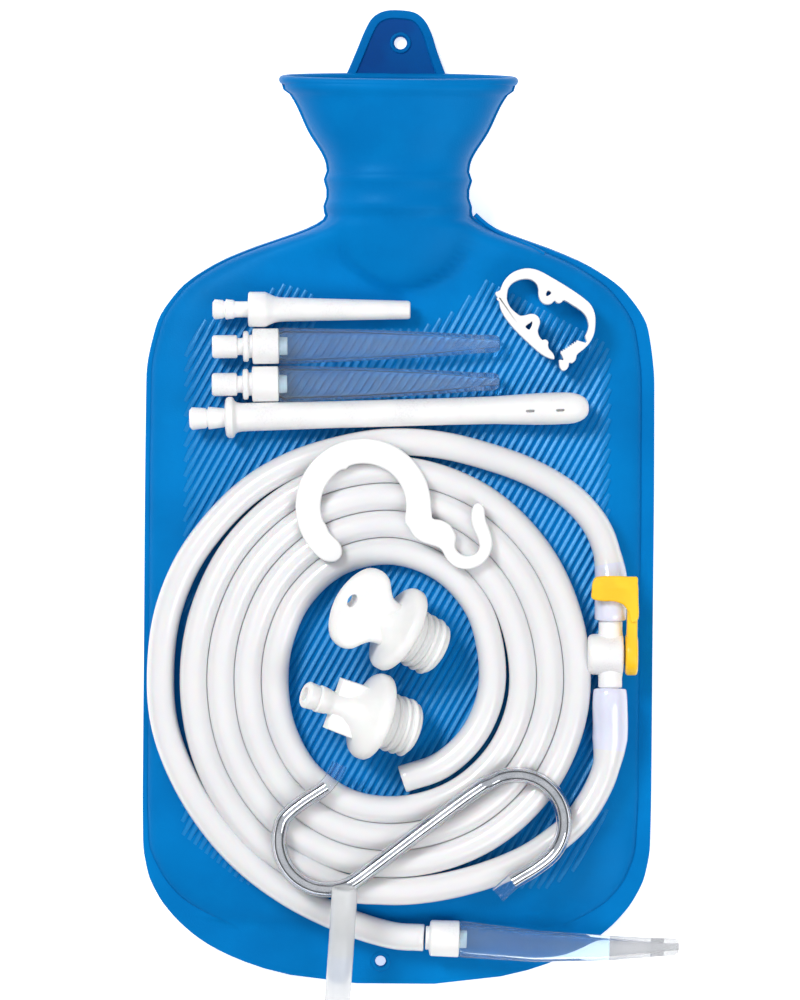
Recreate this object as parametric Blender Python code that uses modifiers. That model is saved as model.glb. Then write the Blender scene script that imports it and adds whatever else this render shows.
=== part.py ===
"""Irrigation bag kit: a rubber bag with a funnel neck lying flat, and its accessories resting on it.

Millimetres in the numbers below, metres in the scene. +Z is up, +Y runs from the bag's bottom to its
funnel mouth, and the origin is on the supporting surface under the middle of the bag.
"""

import math

import bmesh
import bpy
from mathutils import Matrix, Vector

MM = 0.001
GAP = 0.35
LAY_GAP = 0.25

# ---- bag: half-widths of the body, rim and neck, and the y of its foot -------------------------------
BODY, RIM, NECK = 98.9, 45.4, 28.8
FOOT = -189.0
WALL, SEAM = 2.0, 0.15
FLAT = WALL + SEAM
# y, outline half-width, seam inset left, seam inset right, seam height, front rise, back drop, squareness
BAG = (
    (162.6, RIM - 1.0, 0.9, 0.9, 22.3, 21.4, 21.6, 2.0),
    (160.6, RIM, 0.9, 0.9, 22.3, 22.3, 22.3, 2.0),
    (157.8, RIM - 0.8, 0.9, 0.9, 22.3, 21.9, 22.1, 2.0),
    (156.0, RIM - 3.2, 0.9, 0.9, 22.2, 20.9, 22.0, 2.0),
    (142.0, RIM - 10.4, 0.9, 0.9, 21.0, 19.6, 20.9, 2.0),
    (129.5, NECK - 0.8, 0.9, 0.9, 19.6, 18.3, 19.5, 2.0),
    (126.4, NECK - 1.2, 0.9, 0.9, 19.4, 18.4, 19.3, 2.0),
    (123.0, NECK, 0.9, 0.9, 19.3, 19.8, 19.3, 2.0),
    (119.4, NECK - 1.1, 0.9, 0.9, 19.2, 18.6, 19.1, 2.0),
    (116.2, NECK - 1.1, 0.9, 0.9, 19.0, 18.6, 18.9, 2.0),
    (112.8, NECK, 0.9, 0.9, 18.6, 19.8, 18.6, 2.0),
    (109.2, NECK - 0.2, 1.0, 1.2, 18.0, 18.6, 17.9, 2.0),
    (105.6, NECK + 4.7, 1.5, 2.5, 17.3, 17.8, 17.2, 2.2),
    (102.0, NECK + 13.2, 1.8, 4.0, 16.4, 15.5, 16.3, 2.6),
    (97.0, BODY - 42.4, 1.8, 4.5, 15.2, 12.5, 15.1, 3.2),
    (90.0, BODY - 25.9, 1.8, 4.8, 13.6, 10.8, 13.5, 4.0),
    (80.0, BODY - 11.9, 1.8, 5.0, 12.2, 10.6, 12.1, 4.8),
    (66.0, BODY - 3.3, 1.8, 5.0, 11.4, 10.8, 11.3, 5.0),
    (45.0, BODY - 0.2, 1.8, 5.0, 11.0, 11.0, 10.9, 5.0),
    (-5.0, BODY, 1.8, 5.0, 11.0, 11.0, 11.0, 5.0),
    (-60.0, BODY - 0.1, 1.8, 5.0, 11.0, 11.0, 11.0, 5.0),
    (FOOT + 78.1, BODY - 0.1, 1.8, 5.0, 11.0, 11.0, 11.0, 5.0),
    (FOOT + 55.1, BODY - 0.4, 2.2, 5.6, 10.8, 10.6, 10.7, 4.8),
    (FOOT + 43.1, BODY - 2.3, 5.0, 7.2, 10.4, 9.6, 10.3, 4.4),
    (FOOT + 33.1, BODY - 6.9, 8.6, 10.0, 9.9, 7.6, 9.8, 4.0),
    (FOOT + 26.1, BODY - 12.3, 15.0, 15.5, 9.3, 4.9, 7.6, 3.6),
    (FOOT + 21.6, BODY - 16.9, 20.5, 20.5, 8.8, 2.3, 4.2, 3.4),
    (FOOT + 15.1, BODY - 25.6, 14.0, 14.0, 8.0, 2.15, 2.3, 3.0),
    (FOOT + 8.1, BODY - 40.3, 8.0, 8.0, 7.3, 2.15, 2.15, 3.0),
    (FOOT + 3.1, BODY - 57.9, 5.0, 5.0, 6.9, 2.15, 2.15, 3.0),
    (FOOT, BODY - 83.9, 4.0, 4.0, 6.7, 2.15, 2.15, 3.0),
)
# y and how far the bag's middle line lies to the right of x = 0
SHIFT = ((112.0, -1.0), (104.0, 1.1), (70.0, 1.1), (50.0, 0.5), (FOOT, 0.3))
ACROSS = 16
DOME_START, DOME_END, DOME_WIDE, DOME_FOOT, DOME_RISE = 107.0, 81.0, 27.5, 9.0, 18.5

TAB_OUTLINE = (
    (-22.7, 157.0), (-20.3, 165.6), (-17.4, 174.1), (-14.2, 182.7), (-11.2, 187.4), (-7.0, 189.8),
    (-1.4, 190.3), (5.0, 189.4), (9.0, 186.3), (11.8, 181.0), (14.0, 174.1), (16.6, 165.6), (20.0, 157.0),
)
TAB_LOW, TAB_THICK, TAB_RECESS = 0.3, 3.2, 0.7
TAB_MIDDLE, TAB_RECESS_ACROSS, TAB_RECESS_ALONG, TAB_RECESS_FOOT = 177.3, 0.82, 0.79, 164.0
TAB_HOLE, TAB_HOLE_R = (-0.4, 177.5), 2.5
EYELET, EYELET_R, EYELET_RING_R, EYELET_RECESS = (-5.6, FOOT + 8.8), 2.3, 4.4, 0.7

BUSH_Y, BUSH_LENGTH, BUSH_BORE = 117.8, 13.0, 23.4
BUSH_WIDE, BUSH_HIGH = 24.6, 15.8

# ---- hose --------------------------------------------------------------------------------------------
HOSE_R = 5.5
COIL_CENTRE = (-4.5, -70.4)
COIL_INSIDE, COIL_OUTSIDE = (37.6, 45.4), (77.4, 84.6)
COIL_CORNER = 2.2
HOSE_UP = (
    (61.6, -131.6), (70.0, -124.0), (76.8, -114.0), (81.2, -103.0), (82.6, -91.0), (82.3, -78.8), (82.3, -73.2),
)
HOSE_ROUND = (
    (82.3, -46.4), (82.3, -40.8), (82.1, -27.0), (77.6, -12.0), (67.6, 0.2), (53.0, 9.4), (36.0, 15.8), (16.0, 20.6),
    (-4.0, 21.6), (-22.0, 18.6), (-40.0, 12.8), (-56.0, 3.6), (-70.0, -9.8), (-81.6, -26.4), (-89.0, -46.0),
    (-91.4, -67.0), (-90.0, -87.0), (-83.4, -106.0), (-72.6, -124.2), (-58.4, -140.2), (-40.6, -153.4),
    (-20.6, -163.4), (-2.0, -169.4), (11.2, -170.4),
)
HOSE_STEP = 13.0

# ---- valve: a cross barrel with a neck each side, a spindle and an L-shaped lever ----------------------
VALVE_AT = (82.3, -59.8)
BARREL_R, BARREL_START, BARREL_END, BARREL_EDGE = 7.9, -8.8, 5.0, 1.2
VALVE_NECK_R, VALVE_NECK_END = 4.7, 12.2
SPINDLE_BORE_R, SPINDLE_DEPTH = 4.1, 5.2
LEVER_THICK, LEVER_CLEAR, HUB_R = 4.8, 0.75, 8.0
ARM_START, ARM_END, ARM_LOW, ARM_HIGH = 1.3, 29.9, 1.9, 7.9
PADDLE_LOW, PADDLE_HIGH = 6.7, 9.7
PADDLE_OUTLINE = (
    (-7.4, 21.2), (-7.4, 28.6), (-5.6, 30.4), (9.4, 30.2), (10.5, 27.6), (10.5, 20.0), (5.0, 20.2),
)

# ---- nozzles: each row is (distance along the piece, radius) -------------------------------------------
BARBS = ((0.0, 2.6), (1.0, 4.0), (4.4, 3.1), (4.4, 4.0), (8.8, 3.1), (8.8, 4.0), (13.4, 3.1))
SHORT_NOZZLE = BARBS + (
    (13.8, 6.2), (14.4, 6.8), (20.4, 6.8), (21.2, 6.2), (26.2, 4.9), (50.0, 4.2), (75.6, 3.6), (76.4, 2.8),
)
LONG_NOZZLE = (
    (0.0, 3.2), (1.2, 4.4), (6.8, 3.3), (6.8, 4.4), (13.8, 3.4), (14.4, 7.4), (15.0, 7.9), (17.0, 7.9),
    (17.6, 7.4), (18.2, 5.5), (57.0, 5.2), (100.0, 5.2), (118.0, 5.3), (134.0, 6.1), (146.0, 6.0),
    (151.0, 4.9), (154.2, 2.2),
)
NOZZLE_BORE_R = 1.6
COLLAR_R, COLLAR_LENGTH, SPIGOT_LENGTH = 6.9, 10.0, 14.0
PLUG_CORE = (
    (0.0, 3.8), (0.8, 4.4), (9.6, 4.4), (10.2, 3.3), (12.0, 3.3), (12.4, 5.9), (14.0, 5.9), (14.3, 4.5),
    (15.4, 4.5),
)
PLUG_LENGTH = 15.6
SLEEVE_TOP = 7.1
CLEAR_SLEEVE = (
    (0.0, 6.9), (0.8, SLEEVE_TOP), (29.0, 6.0), (58.0, 4.8), (81.4, 3.5), (84.2, 2.9), (85.0, 2.2),
)
SLEEVE_ROOM = ((0.0, 4.4), (29.0, 4.0), (58.0, 3.0), (85.0, 1.2))
SLEEVE_SEAT = 0.4
FITTED_CORE = ((0.0, 4.6), (1.4, 4.6), (1.8, 6.4), (2.4, 7.1), (13.0, 7.1))
SHORT_LINE = ((-72.2, 72.3), (4.4, 72.6))
LONG_LINE = ((-80.8, 30.0), (73.4, 35.4))
PLUGGED_LINES = {
    "clear_nozzle_a": ((-72.2, 57.8), (39.2, 59.8)),
    "clear_nozzle_b": ((-72.2, 43.2), (38.6, 45.2)),
}
FITTED_TIP = (109.4, -173.2)

# ---- threaded pieces: they lean on their flange's edge and their thread's end ---------------------------
THREAD_R, THREAD_ROOT, PITCH = 11.2, 10.2, 3.3
FLANGE_R, LEAN = 17.0, 22.0
STOPPER_AT, STOPPER_TOWARDS = (-13.7, -42.8), (0.8785, -0.478)
STOPPER_HEAD = (
    (-11.2, 0.0), (-10.4, 6.0), (-8.2, 11.6), (-4.8, 15.4), (-0.4, 16.6), (3.6, 15.2), (6.2, 12.2),
    (8.6, 9.8), (11.6, 8.9), (16.0, 9.0),
)
STOPPER_THICK, STOPPER_FLANGE, FINGER_HOLE, FINGER_R = 6.4, 19.2, (-6.4, 1.2), 2.3
STOPPER_NECK = ((7.0, 3.0), (9.0, 4.2), (11.0, 5.6), (12.6, 8.0), (13.8, 11.6), (14.6, 15.2), (15.2, 16.4))
ADAPTER_AT, ADAPTER_TOWARDS = (-35.3, -75.3), (0.947, -0.321)
ADAPTER_BORE_R, ADAPTER_FLANGE = 2.6, 31.2
ADAPTER_NECK = (
    (0.0, 4.4), (0.8, 5.2), (9.6, 5.2), (10.4, 4.6), (17.0, 4.7), (20.6, 6.8), (23.6, 10.4), (25.6, 14.0),
    (26.8, 16.0),
)
WING_START, WING_END, WING_HALF, WING_THICK = 12.4, 26.0, 10.3, 5.0

# ---- clamp, hooks and spare tube -------------------------------------------------------------------------
CLAMP_DEEP, JAW_SHY = 9.5, 0.4
CLAMP_LOOP, HINGE = (47.3, 78.4), (39.9, 77.4)
UPPER_JAW = ((52.4, 85.0), (51.2, 80.0), (53.4, 78.0), (55.8, 75.2), (58.8, 77.4), (62.0, 75.6), (63.4, 78.8))
LOWER_JAW = (
    (44.0, 70.2), (46.8, 72.0), (51.8, 72.0), (54.2, 69.4), (54.0, 66.2), (56.6, 62.6), (57.2, 58.4),
    (48.0, 65.6),
)
# x, y, width along each bar
FRAME_ARM = (
    (53.6, 84.9, 3.0), (62.0, 79.9, 3.0), (70.4, 74.9, 3.2), (73.4, 71.2, 3.2), (74.0, 67.0, 3.2),
    (72.2, 62.8, 3.4), (69.2, 58.8, 3.8), (66.4, 55.6, 3.6), (64.0, 53.0, 2.6),
)
PINCH_ARM = (
    (39.9, 75.2, 3.0), (40.6, 73.4, 3.0), (42.2, 71.4, 3.2), (45.6, 67.6, 3.2), (50.0, 63.6, 3.4),
    (55.4, 58.6, 3.6), (59.2, 55.4, 2.6),
)
HOOK_THICK = 4.0
BIG_HOOK, BIG_HOOK_R, BIG_HOOK_WIDE = (-13.2, -3.2), 21.2, 9.6
SMALL_HOOK, SMALL_HOOK_R, SMALL_HOOK_WIDE = (26.6, -17.8), 7.2, 5.0
HOOK_WAIST = ((8.0, -6.0, 9.6), (8.2, -10.2, 9.4), (10.0, -14.6, 8.6), (13.2, -17.2, 7.0), (17.4, -18.2, 5.6))
HOOK_TIP = ((32.6, -9.0, 4.8), (31.0, -4.0, 4.6), (30.6, -2.2, 3.4))
WIRE_R, SLEEVE_R, SLEEVE_WALL = 2.3, 3.1, 0.4
LEFT_BEND, LEFT_BEND_R = (-26.2, -132.0), 18.8
RIGHT_BEND, RIGHT_BEND_R = (46.4, -124.6), 18.4
S_START = ((-21.8, -102.6), (-26.8, -111.2), (-35.4, -117.4))
S_MIDDLE = ((-6.0, -140.2), (10.0, -127.8), (26.0, -115.6), (34.4, -109.8))
S_END = ((48.6, -145.0), (45.1, -147.4), (39.4, -152.6))
TUBE_R, TUBE_LAY = 5.0, 0.2
TUBE_OVER = ((-19.4, -149.6, 1.6), (-19.8, -158.0, -0.4), (-20.4, -168.0, -5.6))
TUBE_DROP, TUBE_ALONG, TUBE_STEP = 78.0, 192.0, 24.0


# ====== basics ==========================================================================================
for old in list(bpy.data.objects):
    bpy.data.objects.remove(old, do_unlink=True)

kit = bpy.data.collections.new("irrigation_bag_kit")
bpy.context.scene.collection.children.link(kit)
cutters = bpy.data.collections.new("cutters")
bpy.context.scene.collection.children.link(cutters)

# colour, roughness, metallic, transmission
LOOKS = {
    "blue_rubber": ((0.0, 0.19, 0.53), 0.45, 0.0, 0.0),
    "white_silicone": ((0.80, 0.80, 0.82), 0.3, 0.0, 0.0),
    "white_plastic": ((0.88, 0.88, 0.88), 0.3, 0.0, 0.0),
    "clear_plastic": ((0.93, 0.95, 0.96), 0.1, 0.0, 0.8),
    "yellow_plastic": ((1.0, 0.62, 0.03), 0.35, 0.0, 0.0),
    "steel": ((0.75, 0.76, 0.78), 0.15, 1.0, 0.0),
}
SOFT_EDGE = math.radians(35)


def material(name, look):
    colour, rough, metal, clear = LOOKS[look]
    mat = bpy.data.materials.new(name)
    mat.use_nodes = True
    shader = mat.node_tree.nodes["Principled BSDF"]
    shader.inputs["Base Color"].default_value = (*colour, 1.0)
    shader.inputs["Roughness"].default_value = rough
    shader.inputs["Metallic"].default_value = metal
    shader.inputs["Transmission Weight"].default_value = clear
    return mat


def keep(obj, look):
    """Puts a piece in the kit with a material of its own."""
    obj.data.materials.append(material(obj.name, look))
    kit.objects.link(obj)
    return obj


def cutter(obj):
    cutters.objects.link(obj)
    obj.hide_render = True
    obj.display_type = "WIRE"
    return obj


def boolean(obj, other, operation="DIFFERENCE"):
    mod = obj.modifiers.new(other.name, "BOOLEAN")
    mod.operation = operation
    mod.solver = "EXACT"
    mod.object = other


def mesh_object(name, bm, place=Matrix.Identity(4)):
    """An object from a mesh drawn in millimetres, smooth but for its real edges."""
    data = bpy.data.meshes.new(name)
    bm.to_mesh(data)
    bm.free()
    data.transform(Matrix.Scale(MM, 4))
    data.shade_smooth()
    data.set_sharp_from_angle(angle=SOFT_EDGE)
    obj = bpy.data.objects.new(name, data)
    obj.matrix_world = in_metres(place)
    return obj


def in_metres(place):
    out = place.copy()
    out.translation = place.translation * MM
    return out


def aim(origin, along, up=Vector((0, 0, 1))):
    """A frame at origin whose X axis runs along the given direction."""
    x = Vector(along).normalized()
    y = Vector(up).cross(x).normalized()
    z = x.cross(y)
    return Matrix.Translation(Vector(origin)) @ Matrix((x, y, z)).transposed().to_4x4()


def upright(x, y, z):
    return aim((x, y, z), (0, 0, 1), (0, 1, 0))


def turned(name, outside, place, inside=(), steps=16):
    """A profile of (distance, radius) rows turned about local X; with an inside profile it is hollow."""
    if inside:
        rows = list(outside) + list(reversed(inside)) + [outside[0]]
    else:
        rows = [(outside[0][0], 0.0)] + list(outside) + [(outside[-1][0], 0.0)]
    bm = bmesh.new()
    points = [bm.verts.new((x, 0.0, r)) for x, r in (rows[:-1] if inside else rows)]
    for pair in zip(points, points[1:] + (points[:1] if inside else [])):
        bm.edges.new(pair[::-1])
    obj = mesh_object(name, bm, place)
    mod = obj.modifiers.new("turn", "SCREW")
    mod.axis = "X"
    mod.steps = mod.render_steps = steps
    mod.use_merge_vertices = True
    mod.merge_threshold = 0.00001
    mod.use_smooth_shade = True
    return obj


def loft(bm, rings, closed=False):
    """Faces between rings of equal counts; an open loft is capped."""
    for a, b in zip(rings, rings[1:] + (rings[:1] if closed else [])):
        for i in range(len(a)):
            j = (i + 1) % len(a)
            bm.faces.new((a[i], a[j], b[j], b[i]))
    if not closed:
        bm.faces.new(rings[0])
        bm.faces.new(rings[-1])
    bmesh.ops.recalc_face_normals(bm, faces=bm.faces)


def plate(name, outline, thick, place):
    """A flat outline, filled, with half its thickness each side of local Z = 0; returned as a mesh."""
    data = bpy.data.curves.new(name, "CURVE")
    data.dimensions = "2D"
    data.fill_mode = "BOTH"
    data.extrude = thick / 2 * MM
    line = data.splines.new("POLY")
    line.points.add(len(outline) - 1)
    line.use_cyclic_u = True
    for slot, (x, y) in zip(line.points, outline):
        slot.co = (x * MM, y * MM, 0.0, 1.0)
    drawn = bpy.data.objects.new(f"{name}_outline", data)
    drawn.matrix_world = in_metres(place)
    bpy.context.scene.collection.objects.link(drawn)
    bpy.context.view_layer.update()
    solid = bpy.data.meshes.new_from_object(drawn.evaluated_get(bpy.context.evaluated_depsgraph_get()))
    bm = bmesh.new()
    bm.from_mesh(solid)
    bmesh.ops.remove_doubles(bm, verts=bm.verts, dist=0.000005)
    bmesh.ops.recalc_face_normals(bm, faces=bm.faces)
    bm.to_mesh(solid)
    bm.free()
    obj = bpy.data.objects.new(name, solid)
    obj.matrix_world = drawn.matrix_world
    bpy.data.objects.remove(drawn)
    return obj


def bar_outline(rows):
    """The outline of a flat bar along rows of (x, y, width)."""
    near, far = [], []
    for i, (x, y, wide) in enumerate(rows):
        x0, y0 = rows[max(i - 1, 0)][:2]
        x1, y1 = rows[min(i + 1, len(rows) - 1)][:2]
        side = Vector((y0 - y1, x1 - x0)).normalized() * wide / 2
        near.append((x + side.x, y + side.y))
        far.append((x - side.x, y - side.y))
    return near + far[::-1]


def arc(centre, r, start, end, steps, *wide):
    """Points on an arc, in degrees; with a width they are the rows of a bar."""
    out = []
    for i in range(steps + 1):
        a = math.radians(start + (end - start) * i / steps)
        out.append((centre[0] + r * math.cos(a), centre[1] + r * math.sin(a), *wide))
    return out


def smooth_route(points, step):
    """Points about a step apart on a smooth curve through the route's own points."""
    pts = [Vector(p) for p in points]
    ends = [2 * pts[0] - pts[1]] + pts + [2 * pts[-1] - pts[-2]]
    fine = []
    for p0, p1, p2, p3 in zip(ends, ends[1:], ends[2:], ends[3:]):
        for k in range(16):
            t = k / 16
            fine.append(0.5 * (2 * p1 + (p2 - p0) * t + (2 * p0 - 5 * p1 + 4 * p2 - p3) * t * t
                               + (3 * p1 - p0 - 3 * p2 + p3) * t ** 3))
    fine.append(pts[-1])
    reach = [0.0]
    for a, b in zip(fine, fine[1:]):
        reach.append(reach[-1] + (b - a).length)
    count = max(2, round(reach[-1] / step))
    out = [fine[0]]
    for i in range(1, count):
        goal = reach[-1] * i / count
        j = next(k for k in range(len(reach) - 1) if reach[k + 1] >= goal)
        out.append(fine[j].lerp(fine[j + 1], (goal - reach[j]) / (reach[j + 1] - reach[j])))
    return out + [fine[-1]]


def tube(name, points, radius, look, roundness=4, caps=True):
    data = bpy.data.curves.new(name, "CURVE")
    data.dimensions = "3D"
    data.bevel_depth = radius * MM
    data.bevel_resolution = roundness
    data.use_fill_caps = caps
    line = data.splines.new("POLY")
    line.points.add(len(points) - 1)
    for slot, point in zip(line.points, points):
        slot.co = (*(c * MM for c in point), 1.0)
    line.use_smooth = True
    return keep(bpy.data.objects.new(name, data), look)


def thicken(obj, thick):
    mod = obj.modifiers.new("wall", "SOLIDIFY")
    mod.thickness = thick * MM
    mod.offset = -1.0
    mod.use_even_offset = False
    return obj


def swings_about(name, origin, *pieces):
    """Parents the pieces to an empty on their joint's axis, without moving them."""
    pivot = bpy.data.objects.new(name, None)
    pivot.location = Vector(origin) * MM
    kit.objects.link(pivot)
    for piece in pieces:
        piece.parent = pivot
        piece.matrix_parent_inverse = Matrix.Translation(-pivot.location)


# ====== the bag's surface ===============================================================================
def shift(y):
    """How far the bag's middle line lies to the right at one y."""
    for (y0, x0), (y1, x1) in zip(SHIFT, SHIFT[1:]):
        if y >= y1:
            return x0 + (x1 - x0) * min(1.0, max(0.0, (y0 - y) / (y0 - y1)))
    return SHIFT[-1][1]


def section(y):
    """The bag's section numbers at one y, between the rows of BAG."""
    if y >= BAG[0][0]:
        return BAG[0][1:]
    for a, b in zip(BAG, BAG[1:]):
        if y >= b[0]:
            t = (a[0] - y) / (a[0] - b[0])
            return tuple(p + (q - p) * t for p, q in zip(a[1:], b[1:]))
    return BAG[-1][1:]


def swell(u, power):
    """Rise of the panel from its seam (0) to its middle (1)."""
    return max(0.0, 1 - abs(u) ** power) ** (1 / (2.0 if power < 2.2 else 1.75))


def front_height(x, y):
    wide, left, right, seam, rise, _, power = section(y)
    x -= shift(y)
    u = (x - (left - right) / 2) / (wide - (left + right) / 2)
    z = FLAT + (rise - FLAT) * swell(u, power) if abs(u) < 1 else FLAT
    if DOME_END < y < DOME_START:
        t = (DOME_START - y) / (DOME_START - DOME_END)
        inside = 1 - (x / DOME_WIDE) ** 2 - t * t
        if inside > 0:
            z = max(z, DOME_FOOT + (DOME_RISE - DOME_FOOT) * math.sqrt(inside) + (17.0 - seam) * 0.4)
    return seam + z


def back_height(x, y):
    wide, left, right, seam, _, drop, power = section(y)
    x -= shift(y)
    u = (x - (left - right) / 2) / (wide - (left + right) / 2)
    return seam - FLAT - max(drop - FLAT, 0) * (swell(u, power + 1.5) if abs(u) < 1 else 0)


def rest(x, y, radius):
    """Centre height of a ball of that radius lying on the bag at x, y."""
    best = 0.0
    for ring in range(5):
        d = radius * ring / 4
        for k in range(12 if ring else 1):
            a = math.tau * k / 12
            z = front_height(x + d * math.cos(a), y + d * math.sin(a)) + math.sqrt(max(radius**2 - d * d, 0))
            best = max(best, z)
    return best + GAP + LAY_GAP


def level(points, radius):
    return max(rest(x, y, radius) for x, y in points)


def wall(name, height, up):
    """One wall of the bag, lofted through the sections and thickened inwards."""
    bm = bmesh.new()
    rows = []
    for y, wide, left, right, *_ in BAG:
        xs = [-wide]
        for i in range(ACROSS + 1):
            u = math.sin(math.pi / 2 * (2 * i / ACROSS - 1))
            xs.append((left - right) / 2 + u * (wide - (left + right) / 2))
        xs.append(wide)
        rows.append([bm.verts.new((x + shift(y), y, height(x + shift(y), y))) for x in xs])
    for a, b in zip(rows, rows[1:]):
        for i in range(len(a) - 1):
            corners = (a[i], b[i], b[i + 1], a[i + 1])
            bm.faces.new(corners if up else corners[::-1])
    return thicken(keep(mesh_object(name, bm), "blue_rubber"), WALL)


front = wall("bag_front_shell", front_height, True)
back = wall("bag_back_shell", back_height, False)

tab = plate("tab_plate", TAB_OUTLINE, TAB_THICK, Matrix.Translation((0, 0, TAB_LOW + TAB_THICK / 2)))
boolean(back, cutter(tab), "UNION")
recess = [(x * TAB_RECESS_ACROSS, max(TAB_MIDDLE + (y - TAB_MIDDLE) * TAB_RECESS_ALONG, TAB_RECESS_FOOT))
          for x, y in TAB_OUTLINE]
boolean(back, cutter(plate("tab_recess", recess, 2 * TAB_RECESS, Matrix.Translation((0, 0, TAB_LOW + TAB_THICK)))))
boolean(back, cutter(turned("tab_hole", ((0, TAB_HOLE_R), (14, TAB_HOLE_R)), upright(*TAB_HOLE, -2.0))))

eyelet_seam = section(EYELET[1])[3]
for shell in (front, back):
    boolean(shell, cutter(turned(f"eyelet_hole_{shell.name}", ((0, EYELET_R), (16, EYELET_R)),
                                 upright(*EYELET, eyelet_seam - 8))))
boolean(front, cutter(turned("eyelet_recess", ((0, EYELET_RING_R), (8, EYELET_RING_R)),
                             upright(*EYELET, eyelet_seam + FLAT - EYELET_RECESS))))


# ---- the threaded bush moulded in the neck ----
def oval(y, a, b, z, steps=24):
    return [(shift(y) + a * math.cos(math.tau * i / steps), y, z + b * math.sin(math.tau * i / steps))
            for i in range(steps)]


neck_middle = section(BUSH_Y)[3]
bush = bmesh.new()
near_y, far_y = BUSH_Y - BUSH_LENGTH / 2, BUSH_Y + BUSH_LENGTH / 2
bore = BUSH_BORE / 2
bush_sections = (
    (near_y, BUSH_WIDE, BUSH_HIGH), (far_y, BUSH_WIDE, BUSH_HIGH), (far_y, bore, bore), (near_y, bore, bore),
)
loft(bush, [[bush.verts.new(p) for p in oval(y, a, b, neck_middle)] for y, a, b in bush_sections], closed=True)
keep(mesh_object("neck_bush", bush), "white_plastic")

# ====== hose ============================================================================================
coil_rests = ((-4, -30), (0, -70), (60, -70), (-60, -110), (20, -120))
coil_low = max(front_height(x, y) for x, y in coil_rests) + GAP + 0.3
coil_high = coil_low + 2 * HOSE_R
coil = bmesh.new()
sections = []
for i in range(36):
    a = math.tau * i / 36
    ring = []
    for t, up in ((0.0, COIL_CORNER), (0.045, 0.3), (0.12, 0.0), (0.88, 0.0), (0.955, 0.3), (1.0, COIL_CORNER)):
        for_x = COIL_INSIDE[0] + (COIL_OUTSIDE[0] - COIL_INSIDE[0]) * t
        for_y = COIL_INSIDE[1] + (COIL_OUTSIDE[1] - COIL_INSIDE[1]) * t
        ring.append((COIL_CENTRE[0] + for_x * math.cos(a), COIL_CENTRE[1] + for_y * math.sin(a), up))
    lower = [coil.verts.new((x, y, coil_low + up)) for x, y, up in ring]
    upper = [coil.verts.new((x, y, coil_high - up)) for x, y, up in reversed(ring)]
    sections.append(lower + upper)
loft(coil, sections, closed=True)
keep(mesh_object("hose_coil", coil), "white_silicone")

vx, vy = VALVE_AT
vz = level([(vx + along, vy) for along in (BARREL_START, 0.0, BARREL_END)], BARREL_R)
valve = (vx, vy, vz)


def lie(route, reach=40.0):
    """The route's points at the height of a hose lying on the bag, raised to the valve near it."""
    out = []
    for x, y in route:
        z = rest(x, y, HOSE_R)
        d = math.hypot(x - vx, y - vy) / reach
        if d < 1:
            z = max(z, z + (vz - z) * (1 - d) ** 2 * (1 + 2 * d))
        out.append((x, y, z))
    return out


up_run = [(x, y, max(z, coil_low + HOSE_R - 2.5)) for x, y, z in lie(HOSE_UP)]
up_run[-2:] = [(*point, vz) for point in HOSE_UP[-2:]]
tube("hose_to_valve", smooth_route(up_run, HOSE_STEP), HOSE_R, "white_silicone")
end_z = level(((14.0, -171.0), (20.0, -171.0), (28.0, -171.0)), SLEEVE_TOP)
round_run = lie(HOSE_ROUND)
round_run[:2] = [(*point, vz) for point in HOSE_ROUND[:2]]
round_run[-1] = (*HOSE_ROUND[-1], end_z)
round_run[-2] = (*HOSE_ROUND[-2], max(round_run[-2][2], end_z - 0.4))
tube("hose_to_nozzle", smooth_route(round_run, HOSE_STEP), HOSE_R, "white_silicone")

# ====== valve ===========================================================================================
body = keep(turned("valve_body", (
    (BARREL_START, BARREL_R - BARREL_EDGE), (BARREL_START + BARREL_EDGE, BARREL_R), (BARREL_END - 0.6, BARREL_R),
    (BARREL_END, BARREL_R - 0.6)), aim(valve, (1, 0, 0)), steps=24), "white_plastic")
boolean(body, cutter(turned("valve_necks", (
    (-VALVE_NECK_END, VALVE_NECK_R - 0.5), (-VALVE_NECK_END + 0.5, VALVE_NECK_R),
    (VALVE_NECK_END - 0.5, VALVE_NECK_R), (VALVE_NECK_END, VALVE_NECK_R - 0.5)),
    aim(valve, (0, 1, 0)), steps=20)), "UNION")
boolean(body, cutter(turned("valve_cross_bore", ((0, SPINDLE_BORE_R), (20, SPINDLE_BORE_R)),
                            aim((vx - SPINDLE_DEPTH, vy, vz), (1, 0, 0)), steps=20)))
spindle_r = SPINDLE_BORE_R - GAP
spindle_end = SPINDLE_DEPTH - GAP - 0.05
spindle = keep(turned("valve_spindle", ((-spindle_end, spindle_r - 0.5), (-spindle_end + 0.5, spindle_r),
                                        (BARREL_END + LEVER_CLEAR - GAP, spindle_r)),
                      aim(valve, (1, 0, 0)), steps=20), "white_plastic")

hub_x = vx + BARREL_END + LEVER_CLEAR
hub = ((0, HUB_R - 0.6), (0.6, HUB_R), (LEVER_THICK - 0.6, HUB_R), (LEVER_THICK, HUB_R - 0.6))
lever = keep(turned("valve_lever", hub, aim((hub_x, vy, vz), (1, 0, 0)), steps=24), "yellow_plastic")
arm = plate("lever_arm", ((ARM_START, -LEVER_THICK / 2), (ARM_END, -LEVER_THICK / 2), (ARM_END, LEVER_THICK / 2),
                          (ARM_START, LEVER_THICK / 2)), ARM_HIGH - ARM_LOW,
            aim((hub_x + LEVER_THICK / 2, vy, vz + (ARM_LOW + ARM_HIGH) / 2), (0, 1, 0)))
boolean(lever, cutter(arm), "UNION")
boolean(lever, cutter(plate("lever_paddle", PADDLE_OUTLINE, PADDLE_HIGH - PADDLE_LOW,
                            Matrix.Translation((vx, vy, vz + (PADDLE_LOW + PADDLE_HIGH) / 2)))), "UNION")
swings_about("valve_turn_axis", valve, lever, spindle)


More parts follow.
